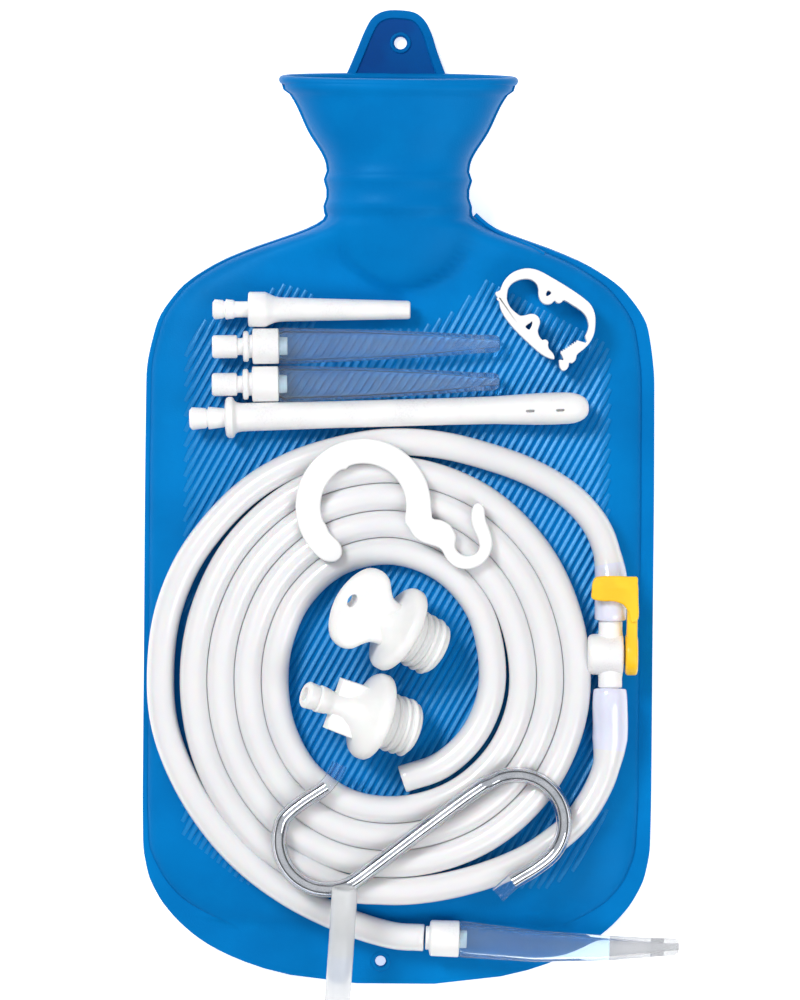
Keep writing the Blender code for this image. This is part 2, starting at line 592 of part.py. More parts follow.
# ====== nozzles =========================================================================================
def bored(rows, radius):
    return ((rows[0][0], radius), (rows[-1][0], radius))


def nozzle(name, line, heights, rows):
    start, end = (*line[0], heights[0]), Vector((*line[1], heights[1]))
    return keep(turned(name, rows, aim(start, end - Vector(start)), bored(rows, NOZZLE_BORE_R)), "white_plastic")


short_z = level(((-66, 72.4), (-52, 72.4)), 6.8)
nozzle("short_nozzle", SHORT_LINE, (short_z, short_z - 0.6), SHORT_NOZZLE)
long_z = level(((-66, 30.6), (-60, 30.6), (60, 34.6)), 8.1)
nozzle("long_nozzle", LONG_LINE, (long_z, long_z - 0.6), LONG_NOZZLE)


def clear_sleeve(name, place):
    keep(turned(name, CLEAR_SLEEVE, place, SLEEVE_ROOM), "clear_plastic")


collar = ((PLUG_LENGTH, COLLAR_R), (PLUG_LENGTH + COLLAR_LENGTH, COLLAR_R))
spigot_root = PLUG_LENGTH + COLLAR_LENGTH + SLEEVE_SEAT
for name, line in PLUGGED_LINES.items():
    z = level((line[0], (-50, line[0][1])), SLEEVE_TOP) + 0.2
    nozzle(f"{name}_core", line, (z, z - 1.0),
           PLUG_CORE + collar + ((spigot_root, 3.6), (spigot_root + SPIGOT_LENGTH, 3.2)))
    a, b = Vector((*line[0], z)), Vector((*line[1], z - 1.0))
    clear_sleeve(f"{name}_sleeve", aim(a, b - a) @ Matrix.Translation((spigot_root, 0, 0)))

hose_end = Vector(round_run[-1])
away = Vector((*FITTED_TIP, end_z - 0.5)) - hose_end
fit = aim(hose_end + away.normalized() * (GAP + LAY_GAP), away)
fitted_root = FITTED_CORE[-1][0] + SLEEVE_SEAT
fitted_rows = FITTED_CORE + ((fitted_root, 3.6), (fitted_root + SPIGOT_LENGTH - 1.4, 3.2))
keep(turned("fitted_nozzle_core", fitted_rows, fit, bored(fitted_rows, NOZZLE_BORE_R)), "white_plastic")
clear_sleeve("fitted_nozzle_sleeve", fit @ Matrix.Translation((fitted_root, 0, 0)))


# ====== threaded stopper and hose adapter ===============================================================
def flange_and_thread(end, count):
    """The flange up to its end, then the thread's ridges."""
    rows = [(end - 3.0, FLANGE_R), (end - 0.6, FLANGE_R), (end, FLANGE_R - 0.6), (end + 0.6, THREAD_R),
            (end + 1.6, THREAD_R)]
    for i in range(count):
        x = end + 1.6 + i * PITCH
        rows += [(x + 0.6, THREAD_ROOT), (x + 1.7, THREAD_ROOT), (x + 2.3, THREAD_R), (x + 3.0, THREAD_R)]
    x = end + 1.6 + count * PITCH
    return tuple(rows + [(x + 0.3, THREAD_ROOT), (x + 1.0, THREAD_ROOT - 0.9)])


def leaning(point, towards, along):
    """A place leaning on the flange's edge, which is at that distance along, with the thread end low."""
    tilt = math.radians(LEAN)
    heading = Vector((*towards, 0)).normalized() * math.cos(tilt)
    heading.z = -math.sin(tilt)
    z = section(0)[3] + section(0)[4] + GAP + 0.4 + FLANGE_R * math.cos(tilt) + along * math.sin(tilt)
    return aim((*point, z), heading)


place = leaning(STOPPER_AT, STOPPER_TOWARDS, STOPPER_FLANGE)
stopper_rows = STOPPER_NECK + flange_and_thread(STOPPER_FLANGE, 4)
stopper = keep(turned("stopper", stopper_rows, place, steps=24), "white_plastic")
head = STOPPER_HEAD + tuple((x, -y) for x, y in reversed(STOPPER_HEAD[1:]))
boolean(stopper, cutter(plate("stopper_head", head, STOPPER_THICK, place)), "UNION")
boolean(stopper, cutter(turned("stopper_finger_hole", ((-8, FINGER_R), (8, FINGER_R)),
                               place @ upright(*FINGER_HOLE, 0.0))))

place = leaning(ADAPTER_AT, ADAPTER_TOWARDS, ADAPTER_FLANGE)
adapter_rows = ADAPTER_NECK + flange_and_thread(ADAPTER_FLANGE, 4)
adapter = keep(turned("hose_adapter", adapter_rows, place, bored(adapter_rows, ADAPTER_BORE_R), 24), "white_plastic")
wing = cutter(plate("adapter_wing", ((WING_START, -WING_HALF), (WING_END, -WING_HALF), (WING_END, WING_HALF),
                                     (WING_START, WING_HALF)), WING_THICK, place))
wing_bore = ADAPTER_BORE_R + 0.3
boolean(wing, cutter(turned("adapter_wing_bore", ((0, wing_bore), (30, wing_bore)), place, steps=24)))
boolean(adapter, wing, "UNION")

# ====== pinch clamp: an outer frame with a latch, and the arm that swings into it ========================
clamp_low = max(front_height(x, y) for x in (38, 44, 50, 58) for y in (50, 60, 70, 78, 86)) + GAP + 0.3
clamp_place = Matrix.Translation((0, 0, clamp_low + CLAMP_DEEP / 2))
frame_rows = arc(CLAMP_LOOP, 7.7, 176, 70, 7, 3.0) + list(FRAME_ARM)
clamp = keep(plate("clamp_frame", bar_outline(frame_rows), CLAMP_DEEP, clamp_place), "white_plastic")
boolean(clamp, cutter(plate("clamp_upper_jaw", UPPER_JAW, CLAMP_DEEP - 2 * JAW_SHY, clamp_place)), "UNION")
pinch = keep(plate("clamp_arm", bar_outline(PINCH_ARM), CLAMP_DEEP, clamp_place), "white_plastic")
boolean(pinch, cutter(plate("clamp_lower_jaw", LOWER_JAW, CLAMP_DEEP - 2 * JAW_SHY, clamp_place)), "UNION")
swings_about("clamp_pinch_axis", (*HINGE, clamp_low + CLAMP_DEEP / 2), pinch)

# ====== hanger hook: a flat plate with a large and a small hook ==========================================
hook_rows = (
    arc(BIG_HOOK, BIG_HOOK_R, 244, 0, 22, BIG_HOOK_WIDE) + list(HOOK_WAIST)
    + arc(SMALL_HOOK, SMALL_HOOK_R, 190, 380, 14, SMALL_HOOK_WIDE) + list(HOOK_TIP)
)
keep(plate("hanger_hook", bar_outline(hook_rows), HOOK_THICK,
           Matrix.Translation((0, 0, coil_high + GAP + HOOK_THICK / 2))), "white_plastic")

# ====== S-hook of wire with a clear sleeve, and the spare tube on it =====================================
wire_z = coil_high + GAP + SLEEVE_R
bends = arc(LEFT_BEND, LEFT_BEND_R, 140, 306, 12) + list(S_MIDDLE) + arc(RIGHT_BEND, RIGHT_BEND_R, 124, -52, 13)
sleeve_line = [(x, y, wire_z) for x, y in list(S_START) + bends + list(S_END)]
tube("s_hook_wire", sleeve_line[1:-1], WIRE_R, "steel", 2)
thicken(tube("s_hook_sleeve", sleeve_line, SLEEVE_R, "clear_plastic", 2, caps=False), SLEEVE_WALL)

over_wire = wire_z + SLEEVE_R + GAP + TUBE_R
low_z = TUBE_R + TUBE_LAY
spare = [(x, y, over_wire + up) for x, y, up in TUBE_OVER]
last_x, last_y, last_z = spare[-1]
for i in range(1, 8):
    t = i / 7
    spare.append((last_x - 5.0 * t, last_y - TUBE_DROP * t, last_z - (last_z - low_z) * t * t * (3 - 2 * t)))
foot_x, foot_y = spare[-1][:2]
for i in range(1, round(TUBE_ALONG / TUBE_STEP) + 1):
    spare.append((foot_x - 0.6 - 0.12 * i * i, foot_y - TUBE_STEP * i, low_z))
tube("spare_tube", smooth_route(spare, HOSE_STEP), TUBE_R, "clear_plastic")
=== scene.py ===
"""Irrigation bag kit: finished surfaces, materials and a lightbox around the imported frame.

Millimetres in the numbers below, metres in the scene, in the frame's own axes: +Z up, +Y towards the funnel.
"""

import math

import bmesh
import bpy
from mathutils import Matrix, Vector, noise


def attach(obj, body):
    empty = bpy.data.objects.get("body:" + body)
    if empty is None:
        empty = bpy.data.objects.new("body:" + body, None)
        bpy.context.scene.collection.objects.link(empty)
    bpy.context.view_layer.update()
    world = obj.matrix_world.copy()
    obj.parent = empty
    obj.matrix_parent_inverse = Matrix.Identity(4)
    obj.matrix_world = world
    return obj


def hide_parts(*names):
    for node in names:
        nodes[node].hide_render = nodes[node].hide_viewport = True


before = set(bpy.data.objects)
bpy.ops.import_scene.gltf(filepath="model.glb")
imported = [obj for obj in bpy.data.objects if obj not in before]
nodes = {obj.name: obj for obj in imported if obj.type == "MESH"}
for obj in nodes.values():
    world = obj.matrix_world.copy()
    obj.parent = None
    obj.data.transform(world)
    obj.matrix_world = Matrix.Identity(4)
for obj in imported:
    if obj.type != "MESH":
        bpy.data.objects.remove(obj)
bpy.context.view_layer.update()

MM = 0.001

# ====== camera =====================================================================================
BAG_TOP = 22.0
VIEW_HEIGHT = 2500.0
camera_data = bpy.data.cameras.new("studio_camera")
camera_data.sensor_fit = "VERTICAL"
camera_data.sensor_height = 24.0
camera_data.lens = 155.0
camera_data.clip_end = 50.0
camera = bpy.data.objects.new("studio_camera", camera_data)
camera.location = (0.0007, -0.0008, (VIEW_HEIGHT + BAG_TOP) * MM)
camera.rotation_euler = (0.0, 0.0, 0.0072)
bpy.context.scene.collection.objects.link(camera)
bpy.context.scene.camera = camera


# ====== bench tools ================================================================================
def clear_bench():
    """Object mode with nothing selected."""
    if bpy.context.object and bpy.context.object.mode != "OBJECT":
        bpy.ops.object.mode_set(mode="OBJECT")
    bpy.ops.object.select_all(action="DESELECT")


def pick(obj):
    clear_bench()
    obj.select_set(True)
    bpy.context.view_layer.objects.active = obj
    return obj


def apply_modifier(obj, kind, **settings):
    """Adds a modifier to the object and applies it."""
    pick(obj)
    mod = obj.modifiers.new(kind.lower(), kind)
    for name, value in settings.items():
        setattr(mod, name, value)
    bpy.ops.object.modifier_apply(modifier=mod.name)
    return obj


def soften(obj, width, segments=2, angle=38):
    if width:
        apply_modifier(obj, "BEVEL", width=width * MM, segments=segments, limit_method="ANGLE",
                       angle_limit=math.radians(angle))
    pick(obj)
    bpy.ops.object.shade_smooth_by_angle(angle=math.radians(angle))
    return obj


def link(name, mesh):
    obj = bpy.data.objects.new(name, mesh)
    bpy.context.scene.collection.objects.link(obj)
    return obj


def aim(origin, along, up=(0, 0, 1)):
    """A frame at origin whose X axis runs along the given direction."""
    x = Vector(along).normalized()
    y = Vector(up).cross(x).normalized()
    z = x.cross(y)
    return Matrix.Translation(Vector(origin)) @ Matrix((x, y, z)).transposed().to_4x4()


def set_down(obj, place):
    """Puts a piece modelled at the origin in its place, in its mesh."""
    obj.data.transform(Matrix.Scale(MM, 4) @ place @ Matrix.Scale(1 / MM, 4))
    return obj


def turned(name, rows, place, steps=48, through=False, rounding=0.25):
    """A turned piece along local X: a disc raised row by row through (distance, radius)."""
    clear_bench()
    bpy.ops.mesh.primitive_circle_add(vertices=steps, radius=rows[0][1] * MM, fill_type="NGON")
    obj = bpy.context.object
    obj.name = obj.data.name = name
    bpy.ops.object.mode_set(mode="EDIT")
    bpy.ops.mesh.select_mode(type="FACE")
    bpy.ops.mesh.select_all(action="SELECT")
    bpy.ops.transform.translate(value=(0, 0, rows[0][0] * MM))
    for (x0, r0), (x1, r1) in zip(rows, rows[1:]):
        bpy.ops.mesh.extrude_region_move(TRANSFORM_OT_translate={"value": (0, 0, (x1 - x0) * MM)})
        if r1 != r0:
            k = r1 / r0
            bpy.ops.transform.resize(value=(k, k, 1), center_override=(0, 0, 0))
    if through:
        bm = bmesh.from_edit_mesh(obj.data)
        for face in bm.faces:
            face.select_set(len(face.verts) == steps)
        bmesh.update_edit_mesh(obj.data)
        bpy.ops.mesh.bridge_edge_loops()
    bpy.ops.mesh.select_all(action="SELECT")
    bpy.ops.mesh.normals_make_consistent(inside=False)
    bpy.ops.object.mode_set(mode="OBJECT")
    soften(obj, rounding)
    return set_down(obj, place @ Matrix.Rotation(math.pi / 2, 4, "Y"))


def closed_line(points, parts=4):
    """A smooth closed outline through the points."""
    n, out = len(points), []
    for i in range(n):
        p0, p1, p2, p3 = (Vector(points[(i + k) % n]) for k in (-1, 0, 1, 2))
        for k in range(parts):
            t = k / parts
            out.append(0.5 * (2 * p1 + (p2 - p0) * t + (2 * p0 - 5 * p1 + 4 * p2 - p3) * t * t
                              + (3 * p1 - p0 - 3 * p2 + p3) * t ** 3))
    return [(p.x, p.y) for p in out]


def open_line(points, step):
    """Evenly spaced points on a smooth curve through the given ones."""
    pts = [Vector(p) for p in points]
    ends = [2 * pts[0] - pts[1]] + pts + [2 * pts[-1] - pts[-2]]
    dense = []
    for p0, p1, p2, p3 in zip(ends, ends[1:], ends[2:], ends[3:]):
        for k in range(16):
            t = k / 16
            dense.append(0.5 * (2 * p1 + (p2 - p0) * t + (2 * p0 - 5 * p1 + 4 * p2 - p3) * t * t
                                + (3 * p1 - p0 - 3 * p2 + p3) * t ** 3))
    dense.append(pts[-1])
    return spaced(dense, step)


def spaced(dense, step):
    reach = [0.0]
    for a, b in zip(dense, dense[1:]):
        reach.append(reach[-1] + (b - a).length)
    count = max(2, round(reach[-1] / step))
    out, j = [], 0
    for i in range(count + 1):
        goal = reach[-1] * i / count
        while j < len(reach) - 2 and reach[j + 1] < goal:
            j += 1
        span = reach[j + 1] - reach[j]
        out.append(dense[j].lerp(dense[j + 1], (goal - reach[j]) / span if span else 0.0))
    return out


def plate(name, outline, thick, place, rounding=0.6, holes=(), segments=3):
    """A flat moulding: an outline filled and given thickness, with its edges rounded."""
    clear_bench()
    data = bpy.data.curves.new(name, "CURVE")
    data.dimensions = "2D"
    data.fill_mode = "BOTH"
    data.extrude = (thick / 2 - rounding) * MM
    data.bevel_depth = rounding * MM
    data.bevel_resolution = segments
    data.offset = -rounding * MM
    for ring in (outline, *holes):
        line = data.splines.new("POLY")
        line.points.add(len(ring) - 1)
        line.use_cyclic_u = True
        for slot, (x, y) in zip(line.points, ring):
            slot.co = (x * MM, y * MM, 0, 1)
    obj = pick(link(name, data))
    bpy.ops.object.convert(target="MESH")
    obj = bpy.context.object
    bpy.ops.object.mode_set(mode="EDIT")
    bpy.ops.mesh.select_all(action="SELECT")
    bpy.ops.mesh.remove_doubles(threshold=0.00001)
    bpy.ops.mesh.normals_make_consistent(inside=False)
    bpy.ops.object.mode_set(mode="OBJECT")
    soften(obj, 0, angle=32)
    return set_down(obj, place)


def rod(name, line, radius, swell=None, cyclic=False, sides=5):
    """A round bar or bead along a line; swell gives each point's share of the radius."""
    clear_bench()
    data = bpy.data.curves.new(name, "CURVE")
    data.dimensions = "3D"
    data.bevel_depth = radius * MM
    data.bevel_resolution = sides
    data.use_fill_caps = not cyclic
    spline = data.splines.new("POLY")
    spline.points.add(len(line) - 1)
    spline.use_cyclic_u = cyclic
    for i, (slot, p) in enumerate(zip(spline.points, line)):
        slot.co = (*(Vector(p) * MM), 1)
        slot.radius = swell[i] if swell else 1.0
    obj = pick(link(name, data))
    bpy.ops.object.convert(target="MESH")
    obj = bpy.context.object
    bpy.ops.object.mode_set(mode="EDIT")
    bpy.ops.mesh.select_all(action="SELECT")
    bpy.ops.mesh.remove_doubles(threshold=0.00001)
    bpy.ops.mesh.normals_make_consistent(inside=False)
    bpy.ops.object.mode_set(mode="OBJECT")
    return soften(obj, 0, angle=45)


def tube(name, line, radius, bore, sides=20, hollow=6, swell=None, through=False):
    """A tube along evenly spaced points, open for a short way in at both ends, or all through."""
    count = len(line)
    side = Vector((0, 0, 1))
    frames = []
    for i in range(count):
        ahead = (line[min(i + 1, count - 1)] - line[max(i - 1, 0)]).normalized()
        side = (side - ahead * side.dot(ahead)).normalized()
        frames.append((line[i], side, ahead.cross(side)))

    def outer(i):
        return radius * (swell(i, count) if swell else 1.0)

    rows = [(i, bore) for i in range(hollow, -1, -1)] + [(0, outer(0) - 0.35)]
    rows += [(i, outer(i)) for i in range(count)]
    rows += [(count - 1, outer(count - 1) - 0.35)] + [(count - 1 - i, bore) for i in range(hollow + 1)]
    nudge = {hollow + 2: 0.35, hollow + 1 + count: -0.35}
    if through:
        rows, nudge = [(i, radius) for i in range(count)] + [(i, bore) for i in range(count - 1, -1, -1)], {}
    bm = bmesh.new()
    rings = []
    for k, (i, r) in enumerate(rows):
        middle, a, b = frames[i]
        middle = middle + a.cross(b) * nudge.get(k, 0.0)
        rings.append([bm.verts.new((middle + r * (math.cos(t) * a + math.sin(t) * b)) * MM)
                      for t in (math.tau * s / sides for s in range(sides))])
    for a, b in zip(rings, rings[1:] + (rings[:1] if through else [])):
        for s in range(sides):
            bm.faces.new((a[s], a[(s + 1) % sides], b[(s + 1) % sides], b[s]))
    if not through:
        bm.faces.new(rings[0])
        bm.faces.new(rings[-1])
    bmesh.ops.recalc_face_normals(bm, faces=bm.faces)
    mesh = bpy.data.meshes.new(name)
    bm.to_mesh(mesh)
    bm.free()
    return soften(link(name, mesh), 0, angle=50)


def arc(cx, cy, r, start, end, steps):
    return [(cx + r * math.cos(math.radians(start + (end - start) * i / steps)),
             cy + r * math.sin(math.radians(start + (end - start) * i / steps))) for i in range(steps + 1)]


def join_solid(obj, other):
    """Boolean union of two closed pieces."""
    apply_modifier(obj, "BOOLEAN", operation="UNION", solver="EXACT", object=other)
    bpy.data.objects.remove(other, do_unlink=True)
    return obj


def cut_away(obj, other):
    apply_modifier(obj, "BOOLEAN", operation="DIFFERENCE", solver="EXACT", object=other)
    bpy.data.objects.remove(other, do_unlink=True)
    return obj


# ====== the bag's shape ============================================================================
WALL, SEAM = 2.0, 0.15
FLAT = WALL + SEAM
# y, outline half-width, seam inset left, seam inset right, seam height, front rise, back drop, squareness
BAG = (
    (162.6, 44.4, 0.9, 0.9, 22.3, 21.4, 21.6, 2.0), (160.6, 45.4, 0.9, 0.9, 22.3, 22.3, 22.3, 2.0),
    (157.8, 44.6, 0.9, 0.9, 22.3, 21.9, 22.1, 2.0), (156.0, 42.2, 0.9, 0.9, 22.2, 20.9, 22.0, 2.0),
    (142.0, 35.0, 0.9, 0.9, 21.0, 19.6, 20.9, 2.0), (129.5, 28.0, 0.9, 0.9, 19.6, 18.3, 19.5, 2.0),
    (126.4, 27.6, 0.9, 0.9, 19.4, 18.4, 19.3, 2.0), (123.0, 28.8, 0.9, 0.9, 19.3, 19.8, 19.3, 2.0),
    (119.4, 27.7, 0.9, 0.9, 19.2, 18.6, 19.1, 2.0), (116.2, 27.7, 0.9, 0.9, 19.0, 18.6, 18.9, 2.0),
    (112.8, 28.8, 0.9, 0.9, 18.6, 19.8, 18.6, 2.0), (109.2, 28.6, 1.0, 1.2, 18.0, 18.6, 17.9, 2.0),
    (105.6, 33.5, 1.5, 2.5, 17.3, 17.8, 17.2, 2.2), (102.0, 42.0, 1.8, 4.0, 16.4, 15.5, 16.3, 2.6),
    (97.0, 56.5, 1.8, 4.5, 15.2, 12.5, 15.1, 3.2), (90.0, 73.0, 1.8, 4.8, 13.6, 10.8, 13.5, 4.0),
    (80.0, 87.0, 1.8, 5.0, 12.2, 10.6, 12.1, 4.8), (66.0, 95.6, 1.8, 5.0, 11.4, 10.8, 11.3, 5.0),
    (45.0, 98.7, 1.8, 5.0, 11.0, 11.0, 10.9, 5.0), (-5.0, 98.9, 1.8, 5.0, 11.0, 11.0, 11.0, 5.0),
    (-60.0, 98.8, 1.8, 5.0, 11.0, 11.0, 11.0, 5.0), (-110.9, 98.8, 1.8, 5.0, 11.0, 11.0, 11.0, 5.0),
    (-133.9, 98.5, 2.2, 5.6, 10.8, 10.6, 10.7, 4.8), (-145.9, 96.6, 5.0, 7.2, 10.4, 9.6, 10.3, 4.4),
    (-155.9, 92.0, 8.6, 10.0, 9.9, 7.6, 9.8, 4.0), (-162.9, 86.6, 15.0, 15.5, 9.3, 4.9, 7.6, 3.6),
    (-167.4, 82.0, 20.5, 20.5, 8.8, 2.3, 4.2, 3.4), (-173.9, 73.3, 14.0, 14.0, 8.0, 2.15, 2.3, 3.0),
    (-180.9, 58.6, 8.0, 8.0, 7.3, 2.15, 2.15, 3.0), (-185.9, 41.0, 5.0, 5.0, 6.9, 2.15, 2.15, 3.0),
    (-189.0, 15.0, 4.0, 4.0, 6.7, 2.15, 2.15, 3.0),
)
# y and how far the bag's middle line lies to the right of x = 0
SHIFT = ((112.0, -1.0), (104.0, 1.1), (70.0, 1.1), (50.0, 0.5), (-189.0, 0.3))
DOME_END, DOME_WIDE, DOME_RISE = 81.0, 27.5, 18.5
GAP = 0.35


def slope(rows, i, column):
    """Slope of a column at row i that never overshoots its neighbours."""
    if i == 0 or i == len(rows) - 1:
        return 0.0 if i else (rows[1][column] - rows[0][column]) / (rows[1][0] - rows[0][0])
    a = (rows[i][column] - rows[i - 1][column]) / (rows[i][0] - rows[i - 1][0])
    b = (rows[i + 1][column] - rows[i][column]) / (rows[i + 1][0] - rows[i][0])
    return 2 * a * b / (a + b) if a * b > 0 else 0.0


def shift(y):
    """How far the bag's middle line lies to the right at one y."""
    for (y0, x0), (y1, x1) in zip(SHIFT, SHIFT[1:]):
        if y >= y1:
            t = min(1.0, max(0.0, (y0 - y) / (y0 - y1)))
            return x0 + (x1 - x0) * t * t * (3 - 2 * t)
    return SHIFT[-1][1]


def section(y):
    """The bag's section numbers at one y, smooth from row to row."""
    y = min(max(y, BAG[-1][0]), BAG[0][0])
    i = next(k for k in range(len(BAG) - 1) if y >= BAG[k + 1][0])
    h = BAG[i + 1][0] - BAG[i][0]
    t = (y - BAG[i][0]) / h
    out = []
    for c in range(1, 8):
        p, q = BAG[i][c], BAG[i + 1][c]
        m, n = slope(BAG, i, c) * h, slope(BAG, i + 1, c) * h
        out.append(p * (2 * t ** 3 - 3 * t * t + 1) + m * (t ** 3 - 2 * t * t + t)
                   + q * (3 * t * t - 2 * t ** 3) + n * (t ** 3 - t * t))
    return out


def swell_of(u, power):
    return max(0.0, 1 - abs(u) ** power) ** (1 / (2.0 if power < 2.2 else 1.75))


def slack(x, y):
    """Small hollows where the filled rubber has relaxed."""
    fade = min(1.0, max(0.0, (100 - y) / 20), max(0.0, (y + 160) / 15))
    return -fade * (0.5 * max(0.0, noise.noise(Vector((x / 38, y / 38, 3.1))))
                    + 0.2 * max(0.0, noise.noise(Vector((x / 13, y / 13, 7.7)))))


def front_height(x, y):
    wide, left, right, seam, rise, _, power = section(y)
    x -= shift(y)
    u = (x - (left - right) / 2) / (wide - (left + right) / 2)
    z = FLAT + (rise - FLAT) * swell_of(u, power) if abs(u) < 1 else FLAT
    if DOME_END < y < 107:
        t = (107 - y) / (107 - DOME_END)
        inside = 1 - (x / DOME_WIDE) ** 2 - t * t
        if inside > 0:
            z = max(z, 9.0 + (DOME_RISE - 9.0) * math.sqrt(inside) + (17.0 - seam) * 0.4)
    return seam + z + (slack(x, y) if abs(u) < 1 else 0.0)


def back_height(x, y):
    wide, left, right, seam, _, drop, power = section(y)
    x -= shift(y)
    u = (x - (left - right) / 2) / (wide - (left + right) / 2)
    return seam - FLAT - max(drop - FLAT, 0) * (swell_of(u, power + 1.5) if abs(u) < 1 else 0)


def rest(x, y, radius):
    """Centre height of a round piece of that radius lying on the bag at x, y."""
    best = 0.0
    for ring in range(5):
        d = radius * ring / 4
        for k in range(12 if ring else 1):
            a = math.tau * k / 12
            z = front_height(x + d * math.cos(a), y + d * math.sin(a)) + math.sqrt(max(radius ** 2 - d * d, 0))
            best = max(best, z)
    return best + GAP + 0.25


# ====== hoses ======================================================================================
HOSE_R, HOSE_BORE = 5.3, 3.2
COIL_CENTRE, COIL_Z = Vector((-4.5, -70.4)), 28.15
TURN_PITCH = 10.5
HOSE_TO_UP = ((13.4, -150.8), (32.3, -146.4), (49.7, -139.4))
HOSE_UP = ((61.6, -131.6), (70.0, -124.0), (76.8, -114.0), (81.2, -103.0), (82.6, -91.0), (82.3, -78.8),
    (82.3, -73.2))
HOSE_ROUND = (
    (82.3, -46.4), (82.3, -40.8), (82.1, -27.0), (77.6, -12.0), (67.6, 0.2), (53.0, 9.4), (36.0, 15.8),
    (16.0, 20.6), (-4.0, 21.6), (-22.0, 18.6), (-40.0, 12.8), (-56.0, 3.6), (-70.0, -9.8), (-81.6, -26.4),
    (-89.0, -46.0), (-91.4, -67.0), (-90.0, -87.0), (-83.4, -106.0), (-72.6, -124.2), (-58.4, -140.2),
    (-40.6, -153.4), (-20.6, -163.4), (-2.0, -169.4), (11.2, -170.4),
)
VALVE = (82.3, -59.8, 28.9)


def coil_point(angle):
    """A point of the flat coil, which steps out by one pitch at the lower right; the inner end springs inwards."""
    turn, part = divmod(angle, 360)
    t = min(max((part - 265) / 95, 0), 1)
    r = 42.6 + TURN_PITCH * (turn + t * t * (3 - 2 * t)) + 3.65 * (1 - math.cos(math.radians(2 * angle)))
    if angle < 40:
        r -= 1.8 * math.sin(math.pi * (angle + 110) / 150)
    a = math.radians(angle)
    return (COIL_CENTRE.x + r * math.cos(a), COIL_CENTRE.y + r * math.sin(a), COIL_Z)


def lie(route, near):
    """The route's points at the height of a hose lying on the bag, raised near the valve."""
    nx, ny, nz, reach = near
    out = []
    for x, y in route:
        z = rest(x, y, 5.5)
        d = math.hypot(x - nx, y - ny) / reach
        if d < 1:
            z = max(z, z + (nz - z) * (1 - d) ** 2 * (1 + 2 * d))
        out.append((x, y, z))
    return out


main_points = [coil_point(a) for a in range(-80, 1350, 24)] + [coil_point(1350)]
main_points += [(x, y, COIL_Z - 0.3 * i) for i, (x, y) in enumerate(HOSE_TO_UP)]
up_run = lie(HOSE_UP, (*VALVE, 40.0))
main_points += [(x, y, max(z, 25.65)) for x, y, z in up_run[:-2]] + [(*p, VALVE[2]) for p in HOSE_UP[-2:]]
main_line = open_line(main_points, 2.2)

end_z = max(rest(x, -171.0, 7.1) for x in (14.0, 20.0, 28.0))
round_run = lie(HOSE_ROUND, (*VALVE, 40.0))
round_run[:2] = [(*p, VALVE[2]) for p in HOSE_ROUND[:2]]
round_run[-1] = (*HOSE_ROUND[-1], end_z)
round_run[-2] = (*HOSE_ROUND[-2], max(round_run[-2][2], end_z - 0.4))
round_line = open_line(round_run, 2.2)


def cuff_at_end(i, count):
    """The hose swells where it is pushed over the valve's barbs."""
    d = (count - 1 - i) * 2.2
    return 1 + 0.29 * min(1, max(0, (30 - d) / 10)) * (1 - 0.3 * min(1, max(0, (8 - d) / 8)) ** 2)


def cuff_at_start(i, count):
    d = i * 2.2
    return 1 + 0.17 * min(1, max(0, (26 - d) / 8))


hose_main = tube("hose_main_line", main_line, HOSE_R, HOSE_BORE, swell=cuff_at_end)
hose_end = tube("hose_end_line", round_line, HOSE_R, HOSE_BORE, swell=cuff_at_start)

# ---- spare tube, over the S-hook's end and down over the bag's lower edge ----
TUBE_R, SLEEVE_R, WIRE_R = 5.0, 3.1, 2.3
WIRE_Z = COIL_Z + 5.5 + GAP + SLEEVE_R
tube_top = WIRE_Z + SLEEVE_R + GAP + TUBE_R
spare_points = [(-19.4, -149.6, tube_top + 1.6), (-19.8, -158.0, tube_top - 0.4),
    (-20.4, -168.0, tube_top - 5.6)]
for i in range(1, 8):
    t = i / 7
    drop = (tube_top - 5.6 - TUBE_R - 0.2) * (t * t * (3 - 2 * t))
    spare_points.append((-20.4 - 5.0 * t, -168.0 - 78.0 * t, tube_top - 5.6 - drop))
spare_points += [(-26.0 - 0.12 * i * i, -246.0 - 24.0 * i, TUBE_R + 0.2) for i in range(1, 9)]
spare_line = open_line(spare_points, 2.0)
spare = tube("spare_tube_line", spare_line, TUBE_R - 0.05, 3.6, sides=24, hollow=14)

# ====== bag pieces =================================================================================
ACROSS = 64
MOUTH_TILT = 2.6


def leaning(y, z):
    """The funnel's mouth leans: its back edge stands further out than its front edge."""
    return y + MOUTH_TILT * (22.3 - z) / 20.6 * min(1, max(0, (y - 146) / 16)) ** 2


def skin(name, height, up):
    """One wall of the bag, lofted across the sections and thickened inwards."""
    levels = []
    for a, b in zip(BAG, BAG[1:]):
        parts = max(1, round((a[0] - b[0]) / 2.2))
        levels += [a[0] + (b[0] - a[0]) * k / parts for k in range(parts)]
    levels.append(BAG[-1][0])
    bm = bmesh.new()
    rows = []
    for y in levels:
        wide, left, right = section(y)[:3]
        xs = [-wide, -wide + left * 0.5]
        xs += [(left - right) / 2 + math.sin(math.pi / 2 * (2 * i / ACROSS - 1)) * (wide - (left + right) / 2)
               for i in range(ACROSS + 1)]
        xs += [wide - right * 0.5, wide]
        row = []
        for x in xs:
            z = height(x + shift(y), y)
            row.append(bm.verts.new(((x + shift(y)) * MM, leaning(y, z) * MM, z * MM)))
        rows.append(row)
    for a, b in zip(rows, rows[1:]):
        for i in range(len(a) - 1):
            corners = (a[i], b[i], b[i + 1], a[i + 1])
            bm.faces.new(corners if up else corners[::-1])
    mesh = bpy.data.meshes.new(name)
    bm.to_mesh(mesh)
    bm.free()
    obj = link(name, mesh)
    apply_modifier(obj, "SOLIDIFY", thickness=(WALL + 0.1) * MM, offset=-1, use_even_offset=False)
    return soften(obj, 0, angle=60)


